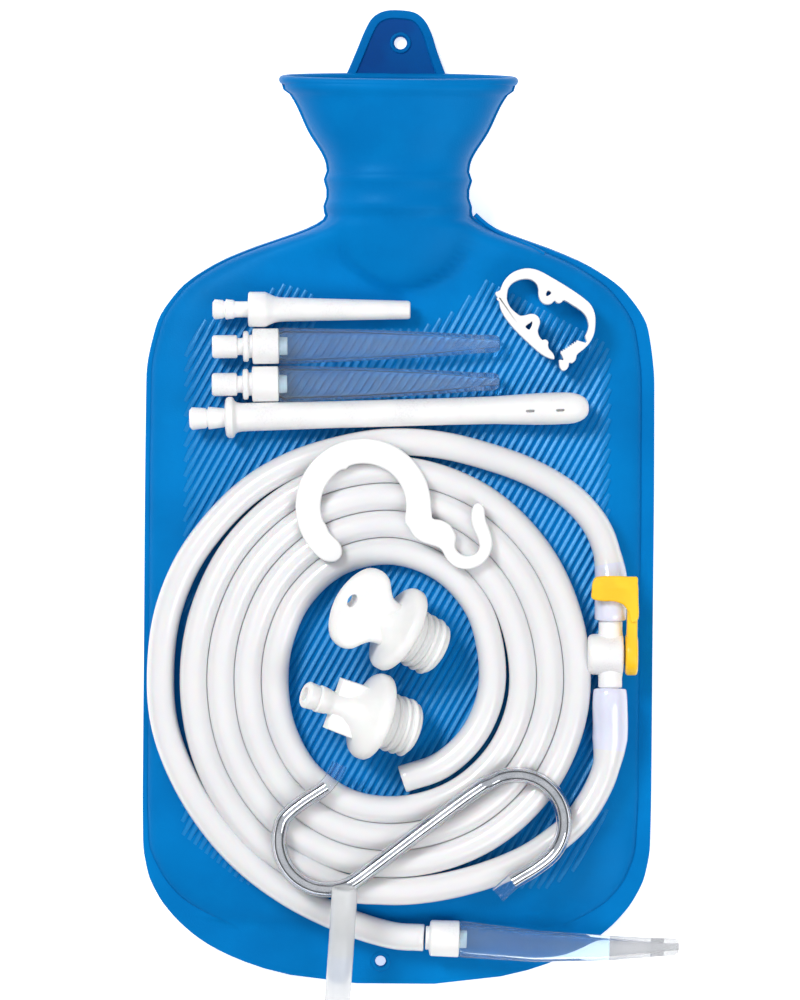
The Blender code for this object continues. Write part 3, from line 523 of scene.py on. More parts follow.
bag_front = skin("bag_front_skin", front_height, True)
bag_back = skin("bag_back_skin", back_height, False)

# ---- eyelet in the bottom flange ----
EYELET = (-5.6, -180.2)
eyelet_seam = section(EYELET[1])[3]
for wall in (bag_front, bag_back):
    cut_away(wall, turned("eyelet_drill", ((0, 2.9), (20, 2.9)), aim((*EYELET, eyelet_seam - 10), (0, 0, 1),
                          (0, 1, 0)), steps=32, rounding=0))
    soften(wall, 0, angle=60)
low, high = eyelet_seam - FLAT - 0.3, eyelet_seam + FLAT + 0.55
eyelet = turned("eyelet_ring", (
    (low + 2, 2.05), (low, 2.05), (low, 3.4), (low + 0.5, 3.7), (low + 0.9, 2.95), (high - 1.2, 2.95),
    (high - 0.9, 4.0), (high - 0.3, 3.9), (high, 3.3), (high, 2.5), (high - 0.6, 2.05), (high - 2, 2.05)),
    aim((*EYELET, 0), (0, 0, 1), (0, 1, 0)), steps=40, through=True, rounding=0.12)

# ---- rolled bead round the funnel's mouth ----
bead_line = []
for i in range(120):
    a = math.tau * i / 120
    z = 22.3 + 20.5 * math.sin(a)
    bead_line.append((44.6 * math.cos(a) + shift(161.6), leaning(161.6, z), z))
mouth_bead = rod("bag_mouth_bead", bead_line, 1.75, cyclic=True, sides=6)

# ---- hanging tab ----
TAB_OUTLINE = (
    (-25.6, 157.0), (-21.2, 165.6), (-17.6, 174.1), (-14.4, 182.0), (-11.4, 187.2), (-7.0, 189.8),
    (-1.4, 190.3), (5.0, 189.4), (9.0, 186.3), (11.8, 181.0), (14.0, 174.1), (17.2, 165.6), (20.8, 157.0),
)
TAB_HOLE = (-0.4, 177.5)
tab = plate("bag_tab", closed_line(TAB_OUTLINE), 3.2, aim((0, 0, 1.9), (1, 0, 0)), rounding=0.5)
pick(tab)
bpy.ops.object.mode_set(mode="EDIT")
bpy.ops.mesh.select_mode(type="FACE")
tab_bm = bmesh.from_edit_mesh(tab.data)
for face in tab_bm.faces:
    face.select_set(face.calc_center_median().z > 3.45 * MM and face.normal.z > 0.99)
bmesh.update_edit_mesh(tab.data)
bpy.ops.mesh.inset(thickness=2.6 * MM, depth=0)
bpy.ops.mesh.inset(thickness=0.5 * MM, depth=-0.8 * MM)
bpy.ops.object.mode_set(mode="OBJECT")
cut_away(tab, turned("tab_drill", ((0, 2.5), (12, 2.5)), aim((*TAB_HOLE, -3), (0, 0, 1), (0, 1, 0)),
    steps=40, rounding=0))
soften(tab, 0.0, angle=30)
tab_eye = turned("bag_tab_eye", ((0.6, 2.45), (0.2, 2.45), (0.2, 3.3), (1.2, 3.9), (2.9, 4.2), (3.3, 3.9),
                                 (3.3, 3.1), (2.6, 2.45), (2.0, 2.45)),
                 aim((*TAB_HOLE, 0), (0, 0, 1), (0, 1, 0)), steps=40, through=True, rounding=0.15)

# ---- slanting grip ribs on the front wall ----
RIB_SLANT, RIB_PITCH = 61.0, 2.82
RIB_FIELD = (
    (-82.8, -131.0), (-82.8, 60.0), (-78.2, 66.8), (-45.2, 82.5), (-34.0, 79.5), (-31.5, 65.2), (7.6, 65.5),
    (18.3, 70.6), (24.9, 74.9), (32.2, 85.4), (80.3, 60.6), (81.8, 55.0), (81.8, -125.0), (78.6, -131.4),
    (74.0, -140.0), (59.4, -150.9), (-58.6, -150.2),
)
RIB_PROFILE = ((-1.2, -0.4), (-1.0, 0.2), (-0.5, 0.52), (0.7, 0.74), (1.04, 0.46), (1.2, -0.4))


def rib_runs():
    """Each rib as a start and end on the edge of the ribbed field."""
    along = Vector((math.cos(math.radians(RIB_SLANT)), math.sin(math.radians(RIB_SLANT))))
    across = Vector((along.y, -along.x))
    reach = [across.dot(Vector(p)) for p in RIB_FIELD]
    k = math.ceil(min(reach) / RIB_PITCH)
    while k * RIB_PITCH < max(reach):
        base = across * (k * RIB_PITCH)
        hits = []
        for p, q in zip(RIB_FIELD, RIB_FIELD[1:] + RIB_FIELD[:1]):
            p, q = Vector(p), Vector(q)
            a, b = across.dot(p - base), across.dot(q - base)
            if (a < 0) != (b < 0):
                hits.append(along.dot(p + (q - p) * (a / (a - b)) - base))
        hits.sort()
        for start, stop in zip(hits[::2], hits[1::2]):
            if stop - start > 4:
                yield base + along * start, base + along * stop, along, across
        k += 1


rib_bm = bmesh.new()
for start, stop, along, across in rib_runs():
    parts = max(3, round((stop - start).length / 4.5))
    rings = []
    for i in range(parts + 1):
        t = min(1, i / parts)
        p = start.lerp(stop, t)
        fade = min(1.0, 0.15 + min(i, parts - i) * 1.2)
        ring = []
        for side, up in RIB_PROFILE:
            q = p + across * side * (0.6 + 0.4 * fade)
            ring.append(rib_bm.verts.new((
                q.x * MM, q.y * MM, (front_height(p.x, p.y) + (up * fade if up > 0 else up)) * MM)))
        rings.append(ring)
    for a, b in zip(rings, rings[1:]):
        for i in range(len(a)):
            j = (i + 1) % len(a)
            rib_bm.faces.new((a[i], a[j], b[j], b[i]))
    rib_bm.faces.new(rings[0])
    rib_bm.faces.new(rings[-1])
bmesh.ops.recalc_face_normals(rib_bm, faces=rib_bm.faces)
rib_mesh = bpy.data.meshes.new("bag_ribs")
rib_bm.to_mesh(rib_mesh)
rib_bm.free()
ribs = soften(link("bag_ribs", rib_mesh), 0, angle=45)

# ---- welded seam line on the right shoulder ----
shoulder_line = [(x, y, front_height(x, y) - 0.25) for x, y in
                 ((29.0, 110.0), (31.6, 107.6), (35.4, 104.8), (42.0, 101.2), (49.0, 98.4), (56.0, 94.8))]
shoulder_bead = rod("bag_shoulder_bead", open_line(shoulder_line, 1.5), 0.9, sides=4)

# ====== valve and lever ============================================================================
vx, vy, vz = VALVE
valve_body = turned("valve_shell", (
    (-8.8, 5.6), (-8.6, 6.6), (-8.0, 7.4), (-7.0, 7.8), (-5.6, 7.9), (3.6, 7.9), (4.4, 7.7), (4.9, 7.2),
    (5.0, 6.2), (5.0, 5.2)), aim(VALVE, (1, 0, 0)), steps=64, rounding=0.2)
for way in (1, -1):
    join_solid(valve_body, turned("valve_neck", (
        (4.0, 4.9), (8.2, 4.75), (9.2, 4.6), (12.6, 4.6), (12.9, 4.2), (13.0, 3.1), (17.2, 3.1), (17.4, 2.9)),
        aim(VALVE, (0, way, 0)), rounding=0.15))
cut_away(valve_body, turned("valve_socket", ((3.4, 4.2), (12.0, 4.2)), aim(VALVE, (1, 0, 0)),
    steps=40, rounding=0))
soften(valve_body, 0, angle=35)

HUB_X = vx + 5.0 + 0.75
LEVER_ARM = ((-2.0, 6.8), (5.0, 7.6), (14.0, 8.6), (23.0, 9.6), (29.4, 9.6), (30.0, 8.6), (29.4, 7.0),
             (22.0, 5.2), (14.0, 2.6), (8.6, -1.4), (3.0, -4.0), (-3.0, 0.0))
arm_place = Matrix.Translation((HUB_X + 2.4, vy, vz)) @ Matrix(((0, 0, 1, 0), (1, 0, 0, 0), (0, 1, 0, 0),
    (0, 0, 0, 1)))
lever = plate("lever_arm", closed_line(LEVER_ARM), 4.0, arm_place, rounding=0.7)
hub = turned("lever_hub", ((0.0, 7.0), (0.4, 7.8), (1.0, 8.0), (4.0, 8.0), (4.5, 7.6), (4.8, 6.6), (4.8, 3.4),
             (4.2, 3.2)), aim((HUB_X, vy, vz), (1, 0, 0)), steps=64)
join_solid(lever, hub)
PADDLE = ((-7.4, 21.6), (-7.6, 25.0), (-7.2, 28.2), (-5.6, 30.0), (0.0, 30.4), (6.4, 30.2), (9.2, 29.2),
          (10.2, 27.0), (10.4, 21.0), (10.4, 14.0), (7.6, 12.6), (6.4, 16.6), (4.4, 19.4), (0.6, 20.6),
          (-3.0, 20.6))
paddle = plate("lever_paddle", closed_line(PADDLE, 5), 3.0, Matrix.Translation((vx, vy, vz + 8.2)),
    rounding=0.8)
join_solid(lever, paddle)
soften(lever, 0, angle=40)

# ====== nozzles ====================================================================================
BORE_R = 1.6


def level(points, radius):
    return max(rest(x, y, radius) for x, y in points)


def toward(start, end):
    return aim(start, Vector(end) - Vector(start))


short_z = level(((-66, 72.4), (-52, 72.4)), 6.8)
short_nozzle = turned("short_nozzle_moulding", (
    (12.0, BORE_R), (0.0, BORE_R), (0.0, 2.7), (0.9, 3.9), (4.0, 3.6), (4.4, 3.15), (4.9, 3.15), (5.2, 3.95),
    (8.2, 3.6), (8.6, 3.15), (9.4, 3.1), (13.6, 3.1), (13.8, 6.3), (14.3, 6.8), (20.2, 6.8), (21.0, 6.5),
    (22.2, 5.9), (23.8, 5.2), (25.6, 4.8), (28.0, 4.65), (50.0, 4.15), (75.4, 3.55), (76.1, 3.3), (76.4, 2.8),
    (76.4, BORE_R), (64.0, BORE_R)), toward((-72.2, 72.3, short_z), (4.4, 72.6, short_z - 0.6)), through=True,
    rounding=0.18)

long_z = level(((-66, 30.6), (-60, 30.6), (60, 34.6)), 8.1)
long_place = toward((-80.8, 30.0, long_z), (73.4, 35.4, long_z - 0.6))
long_nozzle = turned("long_nozzle_moulding", (
    (14.0, BORE_R), (0.0, BORE_R), (0.0, 3.2), (1.1, 4.4), (6.4, 3.9), (6.8, 3.35), (7.1, 3.35), (7.4, 4.4),
    (13.2, 3.7), (13.6, 3.4), (14.0, 6.6), (14.5, 7.6), (15.3, 7.95), (16.6, 7.95), (17.2, 7.5), (17.7, 6.4),
    (18.6, 5.8), (20.2, 5.5), (57.0, 5.2), (100.0, 5.2), (118.0, 5.35), (126.0, 5.75), (134.0, 6.1),
    (141.0, 6.2), (146.0, 6.1), (148.6, 5.8), (150.8, 5.1), (152.5, 4.1), (153.7, 2.7), (154.2, 1.2)),
    long_place, rounding=0.15)
for k, (along, side) in enumerate(((131.5, 8), (131.5, 128), (131.5, 248), (143.0, 8), (143.0, 128),
    (143.0, 248))):
    turn_about = Matrix.Rotation(math.radians(side), 4, "X")
    slit = plate("slit_cutter", closed_line(((-1.5, -0.4), (-1.5, 0.4), (0, 0.6), (1.5, 0.4), (1.5, -0.4),
                 (0, -0.6))), 5.0, long_place @ turn_about @ Matrix.Translation((along, 0, 5.6)),
                 rounding=0.2, segments=1)
    cut_away(long_nozzle, slit)
soften(long_nozzle, 0, angle=35)

CLEAR_TIP = ((0.0, 4.6), (0.0, 6.9), (0.8, 7.1), (29.0, 6.1), (58.0, 4.8), (74.0, 3.75), (80.0, 3.5),
             (83.2, 3.3), (84.6, 2.6), (85.0, 1.8), (84.4, 1.2), (80.0, 1.4), (58.0, 3.3), (29.0, 4.7),
             (2.0, 5.2))


def clear_tip(name, place):
    """The clear tapering tip, hollow, with an eye in its side near the end."""
    tip = turned(name, CLEAR_TIP, place, through=True, rounding=0.15)
    for roll in (0, 180):
        eye = plate("eye_cutter", closed_line(((-2.6, 0), (-1.6, 0.8), (1.6, 0.8), (2.6, 0), (1.6, -0.8),
                    (-1.6, -0.8))), 4.0,
                    place @ Matrix.Rotation(math.radians(90 + roll), 4, "X") @ Matrix.Translation((76.5, 0, 3.6)),
                    rounding=0.2, segments=1)
        cut_away(tip, eye)
    return soften(tip, 0, angle=35)


PLUG = ((3.0, BORE_R), (0.0, BORE_R), (0.0, 3.8), (0.5, 4.3), (1.0, 4.45), (9.2, 4.45), (9.6, 4.2),
        (9.8, 3.3), (11.8, 3.3), (12.0, 5.6), (12.4, 5.95), (13.6, 5.95), (14.0, 5.6), (14.2, 4.5),
        (15.4, 4.5), (15.6, 6.5), (15.9, 6.85), (25.4, 6.85), (25.7, 6.6), (26.0, 3.6), (29.0, 3.4),
        (29.0, BORE_R), (26.0, BORE_R))
clear_pieces = []
for name, start, end in (("clear_nozzle_a", (-72.2, 57.8), (39.2, 59.8)),
                         ("clear_nozzle_b", (-72.2, 43.2), (38.6, 45.2))):
    z = level((start, (-50, start[1])), 7.1) + 0.2
    place = toward((*start, z), (*end, z - 1.0))
    plug = turned(f"{name}_plug", PLUG, place, through=True, rounding=0.15)
    clear_pieces.append((name, plug, clear_tip(f"{name}_tip", place @ Matrix.Translation((26.0, 0, 0)))))

hose_stop = round_line[-1]
tip_end = Vector((109.4, -173.2, end_z - 0.5))
fit = aim(hose_stop + (tip_end - hose_stop).normalized() * (GAP + 0.25), tip_end - hose_stop)
fitted_core = turned("fitted_nozzle_collar", (
    (3.0, BORE_R), (0.0, BORE_R), (0.0, 4.4), (0.3, 4.6), (1.4, 4.6), (1.7, 6.4), (2.3, 7.0), (12.6, 7.1),
    (13.0, 6.9), (13.2, 3.6), (16.0, 3.4), (16.0, BORE_R), (13.0, BORE_R)), fit, through=True, rounding=0.15)
fitted_tip = clear_tip("fitted_nozzle_tip", fit @ Matrix.Translation((13.4, 0, 0)))
tip_start = (fit @ Vector((13.4, 0, 0))).x
for point in fitted_tip.data.vertices:
    t = max(0.0, (point.co.x / MM - tip_start) / 85.0)
    point.co.y -= 2.2 * MM * math.sin(math.pi * min(t, 1.0)) * (1 - 0.25 * t)

# ====== threaded stopper and hose adapter ==========================================================
PITCH, LEAN = 3.3, 22.0


def thread_bead(name, first, last, place, radius=10.35):
    """The raised helix of a thread, fading out at both ends."""
    count = round((last - first) / PITCH * 28)
    line, size = [], []
    for i in range(count + 1):
        a = math.tau * i / 28
        line.append(place @ Vector((first + (last - first) * i / count, radius * math.cos(a),
            radius * math.sin(a))))
        size.append(min(1.0, 0.15 + i / 7, 0.15 + (count - i) / 7))
    return rod(name, line, 0.95, swell=size, sides=3)


def leaning_place(point, towards, contact):
    """Lies on its flange's edge and its thread end, with the thread end low."""
    heading = Vector((*towards, 0)).normalized() * math.cos(math.radians(LEAN))
    heading.z = -math.sin(math.radians(LEAN))
    along, radius = contact
    z = BAG_TOP + 0.75 + radius * math.cos(math.radians(LEAN)) + along * math.sin(math.radians(LEAN))
    return aim((*point, z), heading)


stopper_place = leaning_place((-13.7, -42.8), (0.8785, -0.478), (19.2, 17.0))
STOPPER_HEAD = ((-11.2, 0.0), (-10.4, 6.0), (-8.2, 11.6), (-4.8, 15.4), (-0.4, 16.6), (3.6, 15.2),
                (6.2, 12.2), (8.6, 9.8), (11.6, 8.9), (14.0, 9.0), (16.0, 9.0))
head_outline = STOPPER_HEAD + tuple((x, -y) for x, y in reversed(STOPPER_HEAD[1:]))
stopper = plate("stopper_moulding", closed_line(head_outline), 6.6, stopper_place, rounding=2.4, segments=5)
stopper_turned = turned("stopper_flange", (
    (7.0, 3.0), (9.0, 4.2), (11.0, 5.6), (12.6, 8.0), (13.8, 11.6), (14.6, 15.2), (15.2, 16.4), (16.2, 17.0),
    (18.6, 17.0), (19.2, 16.6), (19.6, 15.6), (19.9, 11.4), (20.2, 10.3), (34.6, 10.2), (35.4, 9.2),
    (35.4, 7.6), (28.0, 7.2)), stopper_place, steps=64)
join_solid(stopper, stopper_turned)
cut_away(stopper, plate("finger_cutter", closed_line(((-1.9, 0), (-1.3, 1.9), (0, 2.7), (1.3, 1.9), (1.9, 0),
                                                      (1.3, -1.9), (0, -2.7), (-1.3, -1.9))), 16.0,
                        stopper_place @ Matrix.Translation((-6.4, 1.2, 0)), rounding=0.2, segments=1))
soften(stopper, 0, angle=40)
stopper_thread = thread_bead("stopper_thread", 21.6, 34.2, stopper_place)

adapter_place = leaning_place((-35.3, -75.3), (0.947, -0.321), (31.2, 17.0))
adapter = turned("adapter_moulding", (
    (14.0, 2.6), (0.0, 2.6), (0.0, 4.3), (0.9, 5.2), (4.6, 4.9), (5.0, 4.5), (5.4, 4.5), (5.8, 5.3),
    (9.8, 4.9), (10.4, 4.5), (12.0, 4.5), (17.0, 4.7), (20.6, 6.8), (23.6, 10.4), (25.6, 14.0), (26.8, 16.0),
    (28.0, 16.8), (29.0, 17.0), (30.6, 17.0), (31.2, 16.6), (31.6, 15.6), (31.8, 11.4), (32.0, 10.3),
    (46.0, 10.2), (46.8, 9.3), (46.8, 7.4), (38.0, 7.2), (36.0, 2.6), (30.0, 2.6)), adapter_place,
    steps=64, through=True)
WING = ((12.4, 10.3), (12.4, -9.9), (24.6, -10.6), (27.0, -8.0), (27.6, 0.0), (27.6, 10.4))
wing = plate("adapter_wing", WING, 5.2, adapter_place, rounding=0.7)
cut_away(wing, turned("wing_drill", ((0, 3.2), (31, 3.2)), adapter_place, steps=40, rounding=0))
join_solid(adapter, wing)
soften(adapter, 0, angle=40)
adapter_thread = thread_bead("adapter_thread", 33.5, 45.6, adapter_place)

# ====== pinch clamp ================================================================================
CLAMP_LOW, CLAMP_DEEP = 24.1, 9.5
FRAME_BACK = (
    (38.4, 76.6), (38.8, 80.5), (40.4, 84.2), (43.2, 87.0), (46.8, 88.5), (50.2, 88.8), (54.0, 87.8),
    (59.2, 85.0), (65.4, 81.3), (70.8, 77.6), (73.8, 74.8), (75.3, 71.2), (75.5, 67.6), (75.0, 63.8),
    (73.4, 60.4), (71.0, 57.8), (68.6, 55.8), (68.0, 53.8), (66.8, 52.5), (65.6, 52.6), (65.2, 51.0),
    (64.2, 49.7), (62.8, 49.6), (61.8, 51.2), (61.6, 53.6), (61.8, 55.8),
)
FRAME_FRONT = (
    (69.4, 61.0), (71.6, 63.0), (72.8, 66.0), (72.7, 68.2), (71.8, 70.6), (70.0, 72.6), (67.0, 74.6),
    (63.6, 76.6), (62.6, 76.0), (61.6, 75.5), (60.5, 75.7), (59.8, 76.4), (58.4, 75.3), (56.8, 75.0),
    (55.2, 75.5), (54.0, 77.0), (53.5, 79.0), (53.4, 81.2), (52.6, 83.0), (50.8, 84.4), (48.4, 84.8),
    (45.8, 84.3), (43.4, 83.0), (41.9, 81.0), (41.4, 78.6), (41.2, 76.8), (39.8, 75.9),
)
teeth = []
for i in range(8):
    t = i / 8
    teeth += [(62.2 + 6.8 * t, 56.3 + 4.6 * t), (62.2 + 6.8 * t + 0.15, 56.3 + 4.6 * t + 0.95)]
smooth_back = closed_line(FRAME_BACK, 4)[:-4]
smooth_front = closed_line(FRAME_FRONT, 4)[:-4]
clamp_frame = plate("clamp_frame_moulding", smooth_back + teeth + smooth_front, CLAMP_DEEP,
                    Matrix.Translation((0, 0, CLAMP_LOW + CLAMP_DEEP / 2)), rounding=0.3, segments=2,
                    holes=(closed_line(((56.4, 78.9), (57.2, 80.3), (58.4, 79.4), (57.0, 78.2)), 3),))
CLAMP_ARM = (
    (39.9, 78.6), (41.2, 77.4), (41.8, 75.4), (43.2, 73.2), (45.0, 71.6), (46.6, 70.6), (48.6, 70.8),
    (50.4, 71.3), (52.2, 71.1), (53.6, 70.0), (54.2, 68.2), (53.8, 66.4), (53.4, 64.8), (53.8, 63.0),
    (55.0, 61.4), (56.4, 61.5), (57.4, 60.6), (57.4, 59.0), (57.8, 57.8), (59.2, 56.2), (59.8, 54.8),
    (59.2, 53.9), (54.8, 55.8), (48.5, 61.2), (43.9, 65.8), (40.8, 69.7), (39.0, 73.0), (38.4, 76.8),
)
clamp_arm = plate("clamp_arm_moulding", closed_line(CLAMP_ARM), CLAMP_DEEP - 0.3,
                  Matrix.Translation((0, 0, CLAMP_LOW + CLAMP_DEEP / 2)), rounding=0.3, segments=2,
                  holes=(closed_line(((48.6, 66.4), (50.4, 67.9), (51.2, 68.4), (51.0, 66.8), (50.0, 65.2)),
                  3),))

# ====== hanger hook ================================================================================
HOOK_Z, HOOK_THICK = COIL_Z + 5.5 + GAP, 4.0
HOOK_MIDDLE, HOOK_OUT, HOOK_IN = (-13.4, -3.3), 26.1, 16.45


def around_hook(angle, radius):
    a = math.radians(angle)
    return (HOOK_MIDDLE[0] + radius * math.cos(a), HOOK_MIDDLE[1] + radius * math.sin(a))


hook_outline = [around_hook(228 - 228 * i / 48, HOOK_OUT) for i in range(49)]
hook_outline += closed_line(((12.8, -3.3), (13.2, -7.6), (16.4, -8.4), (19.6, -9.9), (21.2, -11.9),
                             (22.4, -14.9), (22.0, -18.1), (23.2, -20.6), (26.4, -22.2), (30.2, -21.0),
                             (31.4, -18.2), (30.6, -15.0), (28.9, -11.3), (28.1, -7.2), (28.8, -3.2),
                             (30.9, -1.7), (33.0, -3.4), (33.6, -7.7), (34.9, -11.3), (36.2, -15.2),
                             (36.2, -18.8), (35.0, -22.2), (32.8, -24.8), (29.8, -26.6), (26.2, -27.3),
                             (22.2, -26.4), (19.0, -23.8), (17.0, -20.2), (14.5, -18.5), (10.0, -17.2),
                             (6.4, -15.0), (4.2, -11.6), (3.1, -8.2)), 3)[3:-3]
hook_outline += [around_hook(a, HOOK_IN
                             - 0.7 * math.exp(-((a - 116) / 4) ** 2) - 0.5 * math.exp(-((a - 208) / 4) ** 2))
                 for a in range(-14, 232, 5)]
hook_outline += [around_hook(a, r) for a, r in ((236, 16.7), (240.5, 17.3), (244.5, 18.6), (246.6, 20.4),
                                                (246.4, 22.2), (243.6, 23.9), (239.0, 25.2), (234.0, 25.9))]
hanger_hook = plate("hanger_hook_moulding", hook_outline, HOOK_THICK,
                    Matrix.Translation((0, 0, HOOK_Z + HOOK_THICK / 2)), rounding=0.8)

# ====== S-hook: steel wire in a clear sleeve =======================================================
S_BEND = (
    arc(-26.2, -132.0, 18.8, 152, 308, 11) + [(-6.0, -140.2), (10.0, -127.8), (26.0, -115.6), (34.4, -109.8)]
    + arc(46.4, -124.6, 18.4, 124, -52, 13) + [(52.6, -142.8)]
)


def at_wire(points):
    return [(x, y, WIRE_Z) for x, y in points]


wire_line = open_line(at_wire([(-26.8, -111.2), (-36.4, -117.6)] + S_BEND + [(48.6, -145.2), (45.1, -147.4)]),
    1.6)
wire = rod("s_hook_wire_bar", wire_line, WIRE_R, sides=6)
sleeve_line = open_line(at_wire([(-21.8, -102.6), (-24.0, -107.2), (-28.4, -112.4), (-36.4, -117.6)] + S_BEND
                                + [(48.6, -145.2), (45.1, -147.4), (39.4, -152.6)]), 1.8)
wire_sleeve = tube("s_hook_clear_sleeve", sleeve_line, SLEEVE_R, SLEEVE_R - 0.45, sides=20, through=True)

# ====== finishes ===================================================================================


def new_group(name, inputs, outputs):
    group = bpy.data.node_groups.new(name, "ShaderNodeTree")
    for label, kind, value in inputs:
        group.interface.new_socket(name=label, in_out="INPUT", socket_type=kind).default_value = value
    for label, kind in outputs:
        group.interface.new_socket(name=label, in_out="OUTPUT", socket_type=kind)
    return group, group.nodes.new("NodeGroupInput"), group.nodes.new("NodeGroupOutput")


def add(tree, kind, **settings):
    node = tree.nodes.new(kind)
    for key, value in settings.items():
        setattr(node, key, value)
    return node


def tie(tree, source, target):
    tree.links.new(source, target)


COLOUR, NUMBER = "NodeSocketColor", "NodeSocketFloat"


def cast_group():
    """Soft uneven colour, a fine moulded grain and uneven gloss."""
    group, gin, gout = new_group("cast_surface", (
        ("Colour", COLOUR, (0.8, 0.8, 0.8, 1)), ("Deep Colour", COLOUR, (0.7, 0.7, 0.7, 1)),
        ("Patch Size", NUMBER, 30.0), ("Grain Size", NUMBER, 900.0),
        ("Gloss Low", NUMBER, 0.3), ("Gloss High", NUMBER, 0.5)),
        (("Colour", COLOUR), ("Roughness", NUMBER), ("Height", NUMBER)))
    place = add(group, "ShaderNodeTexCoord")
    patch = add(group, "ShaderNodeTexNoise")
    patch.inputs["Detail"].default_value = 4.0
    grain = add(group, "ShaderNodeTexNoise")
    grain.inputs["Detail"].default_value = 3.0
    fine = add(group, "ShaderNodeTexVoronoi")
    for node, size in ((patch, "Patch Size"), (grain, "Grain Size")):
        tie(group, place.outputs["Object"], node.inputs["Vector"])
        tie(group, gin.outputs[size], node.inputs["Scale"])
    tie(group, place.outputs["Object"], fine.inputs["Vector"])
    tie(group, gin.outputs["Grain Size"], fine.inputs["Scale"])
    spread = add(group, "ShaderNodeMapRange", interpolation_type="SMOOTHSTEP")
    spread.inputs["From Min"].default_value, spread.inputs["From Max"].default_value = 0.36, 0.66
    tie(group, patch.outputs["Fac"], spread.inputs["Value"])
    blend = add(group, "ShaderNodeMix", data_type="RGBA")
    tie(group, spread.outputs["Result"], blend.inputs["Factor"])
    tie(group, gin.outputs["Deep Colour"], blend.inputs["A"])
    tie(group, gin.outputs["Colour"], blend.inputs["B"])
    gloss = add(group, "ShaderNodeMapRange")
    both = add(group, "ShaderNodeMath", operation="MULTIPLY_ADD")
    both.inputs[1].default_value = 0.5
    tie(group, grain.outputs["Fac"], both.inputs[0])
    half = add(group, "ShaderNodeMath", operation="MULTIPLY")
    half.inputs[1].default_value = 0.5
    tie(group, patch.outputs["Fac"], half.inputs[0])
    tie(group, half.outputs[0], both.inputs[2])
    gloss.inputs["From Min"].default_value, gloss.inputs["From Max"].default_value = 0.35, 0.65
    tie(group, both.outputs[0], gloss.inputs["Value"])
    tie(group, gin.outputs["Gloss Low"], gloss.inputs["To Min"])
    tie(group, gin.outputs["Gloss High"], gloss.inputs["To Max"])
    rise = add(group, "ShaderNodeMath", operation="MULTIPLY_ADD")
    rise.inputs[1].default_value = 0.35
    tie(group, fine.outputs["Distance"], rise.inputs[0])
    tie(group, grain.outputs["Fac"], rise.inputs[2])
    tie(group, blend.outputs["Result"], gout.inputs["Colour"])
    tie(group, gloss.outputs["Result"], gout.inputs["Roughness"])
    tie(group, rise.outputs[0], gout.inputs["Height"])
    return group


def bloom_group():
    """A pale bloom in cloudy patches, broken up by handling."""
    group, gin, gout = new_group("surface_bloom", (("Amount", NUMBER, 0.2), ("Size", NUMBER, 40.0)),
                                 (("Mask", NUMBER),))
    place = add(group, "ShaderNodeTexCoord")
    cloud = add(group, "ShaderNodeTexNoise")
    cloud.inputs["Detail"].default_value = 6.0
    cloud.inputs["Roughness"].default_value = 0.65
    tie(group, place.outputs["Object"], cloud.inputs["Vector"])
    tie(group, gin.outputs["Size"], cloud.inputs["Scale"])
    split = add(group, "ShaderNodeMapRange", interpolation_type="SMOOTHSTEP")
    split.inputs["From Min"].default_value, split.inputs["From Max"].default_value = 0.48, 0.72
    tie(group, cloud.outputs["Fac"], split.inputs["Value"])
    amount = add(group, "ShaderNodeMath", operation="MULTIPLY")
    tie(group, split.outputs["Result"], amount.inputs[0])
    tie(group, gin.outputs["Amount"], amount.inputs[1])
    tie(group, amount.outputs[0], gout.inputs["Mask"])
    return group


CAST, BLOOM = cast_group(), bloom_group()


def finish_for(name, colour, deep, gloss, patch=30.0, grain=900.0, bump=0.0001, strength=0.25, bloom=None,
               **constants):
    """A Principled finish: cast surface, optional bloom, and the constants set on the shader itself."""
    mat = bpy.data.materials.new(name)
    mat.use_nodes = True
    tree = mat.node_tree
    shader = tree.nodes["Principled BSDF"]
    cast = add(tree, "ShaderNodeGroup", node_tree=CAST)
    for label, value in (("Colour", (*colour, 1)), ("Deep Colour", (*deep, 1)), ("Patch Size", patch),
                         ("Grain Size", grain), ("Gloss Low", gloss[0]), ("Gloss High", gloss[1])):
        cast.inputs[label].default_value = value
    tint = cast.outputs["Colour"]
    if bloom:
        amount, size, pale = bloom
        dust = add(tree, "ShaderNodeGroup", node_tree=BLOOM)
        dust.inputs["Amount"].default_value, dust.inputs["Size"].default_value = amount, size
        mix = add(tree, "ShaderNodeMix", data_type="RGBA")
        mix.inputs["B"].default_value = (*pale, 1)
        tie(tree, dust.outputs["Mask"], mix.inputs["Factor"])
        tie(tree, tint, mix.inputs["A"])
        tint = mix.outputs["Result"]
    tie(tree, tint, shader.inputs["Base Color"])
    tie(tree, cast.outputs["Roughness"], shader.inputs["Roughness"])
    bumps = add(tree, "ShaderNodeBump")
    bumps.inputs["Strength"].default_value = strength
    bumps.inputs["Distance"].default_value = bump
    tie(tree, cast.outputs["Height"], bumps.inputs["Height"])
    tie(tree, bumps.outputs["Normal"], shader.inputs["Normal"])
    for label, value in constants.items():
        shader.inputs[label.replace("_", " ")].default_value = value
    return mat


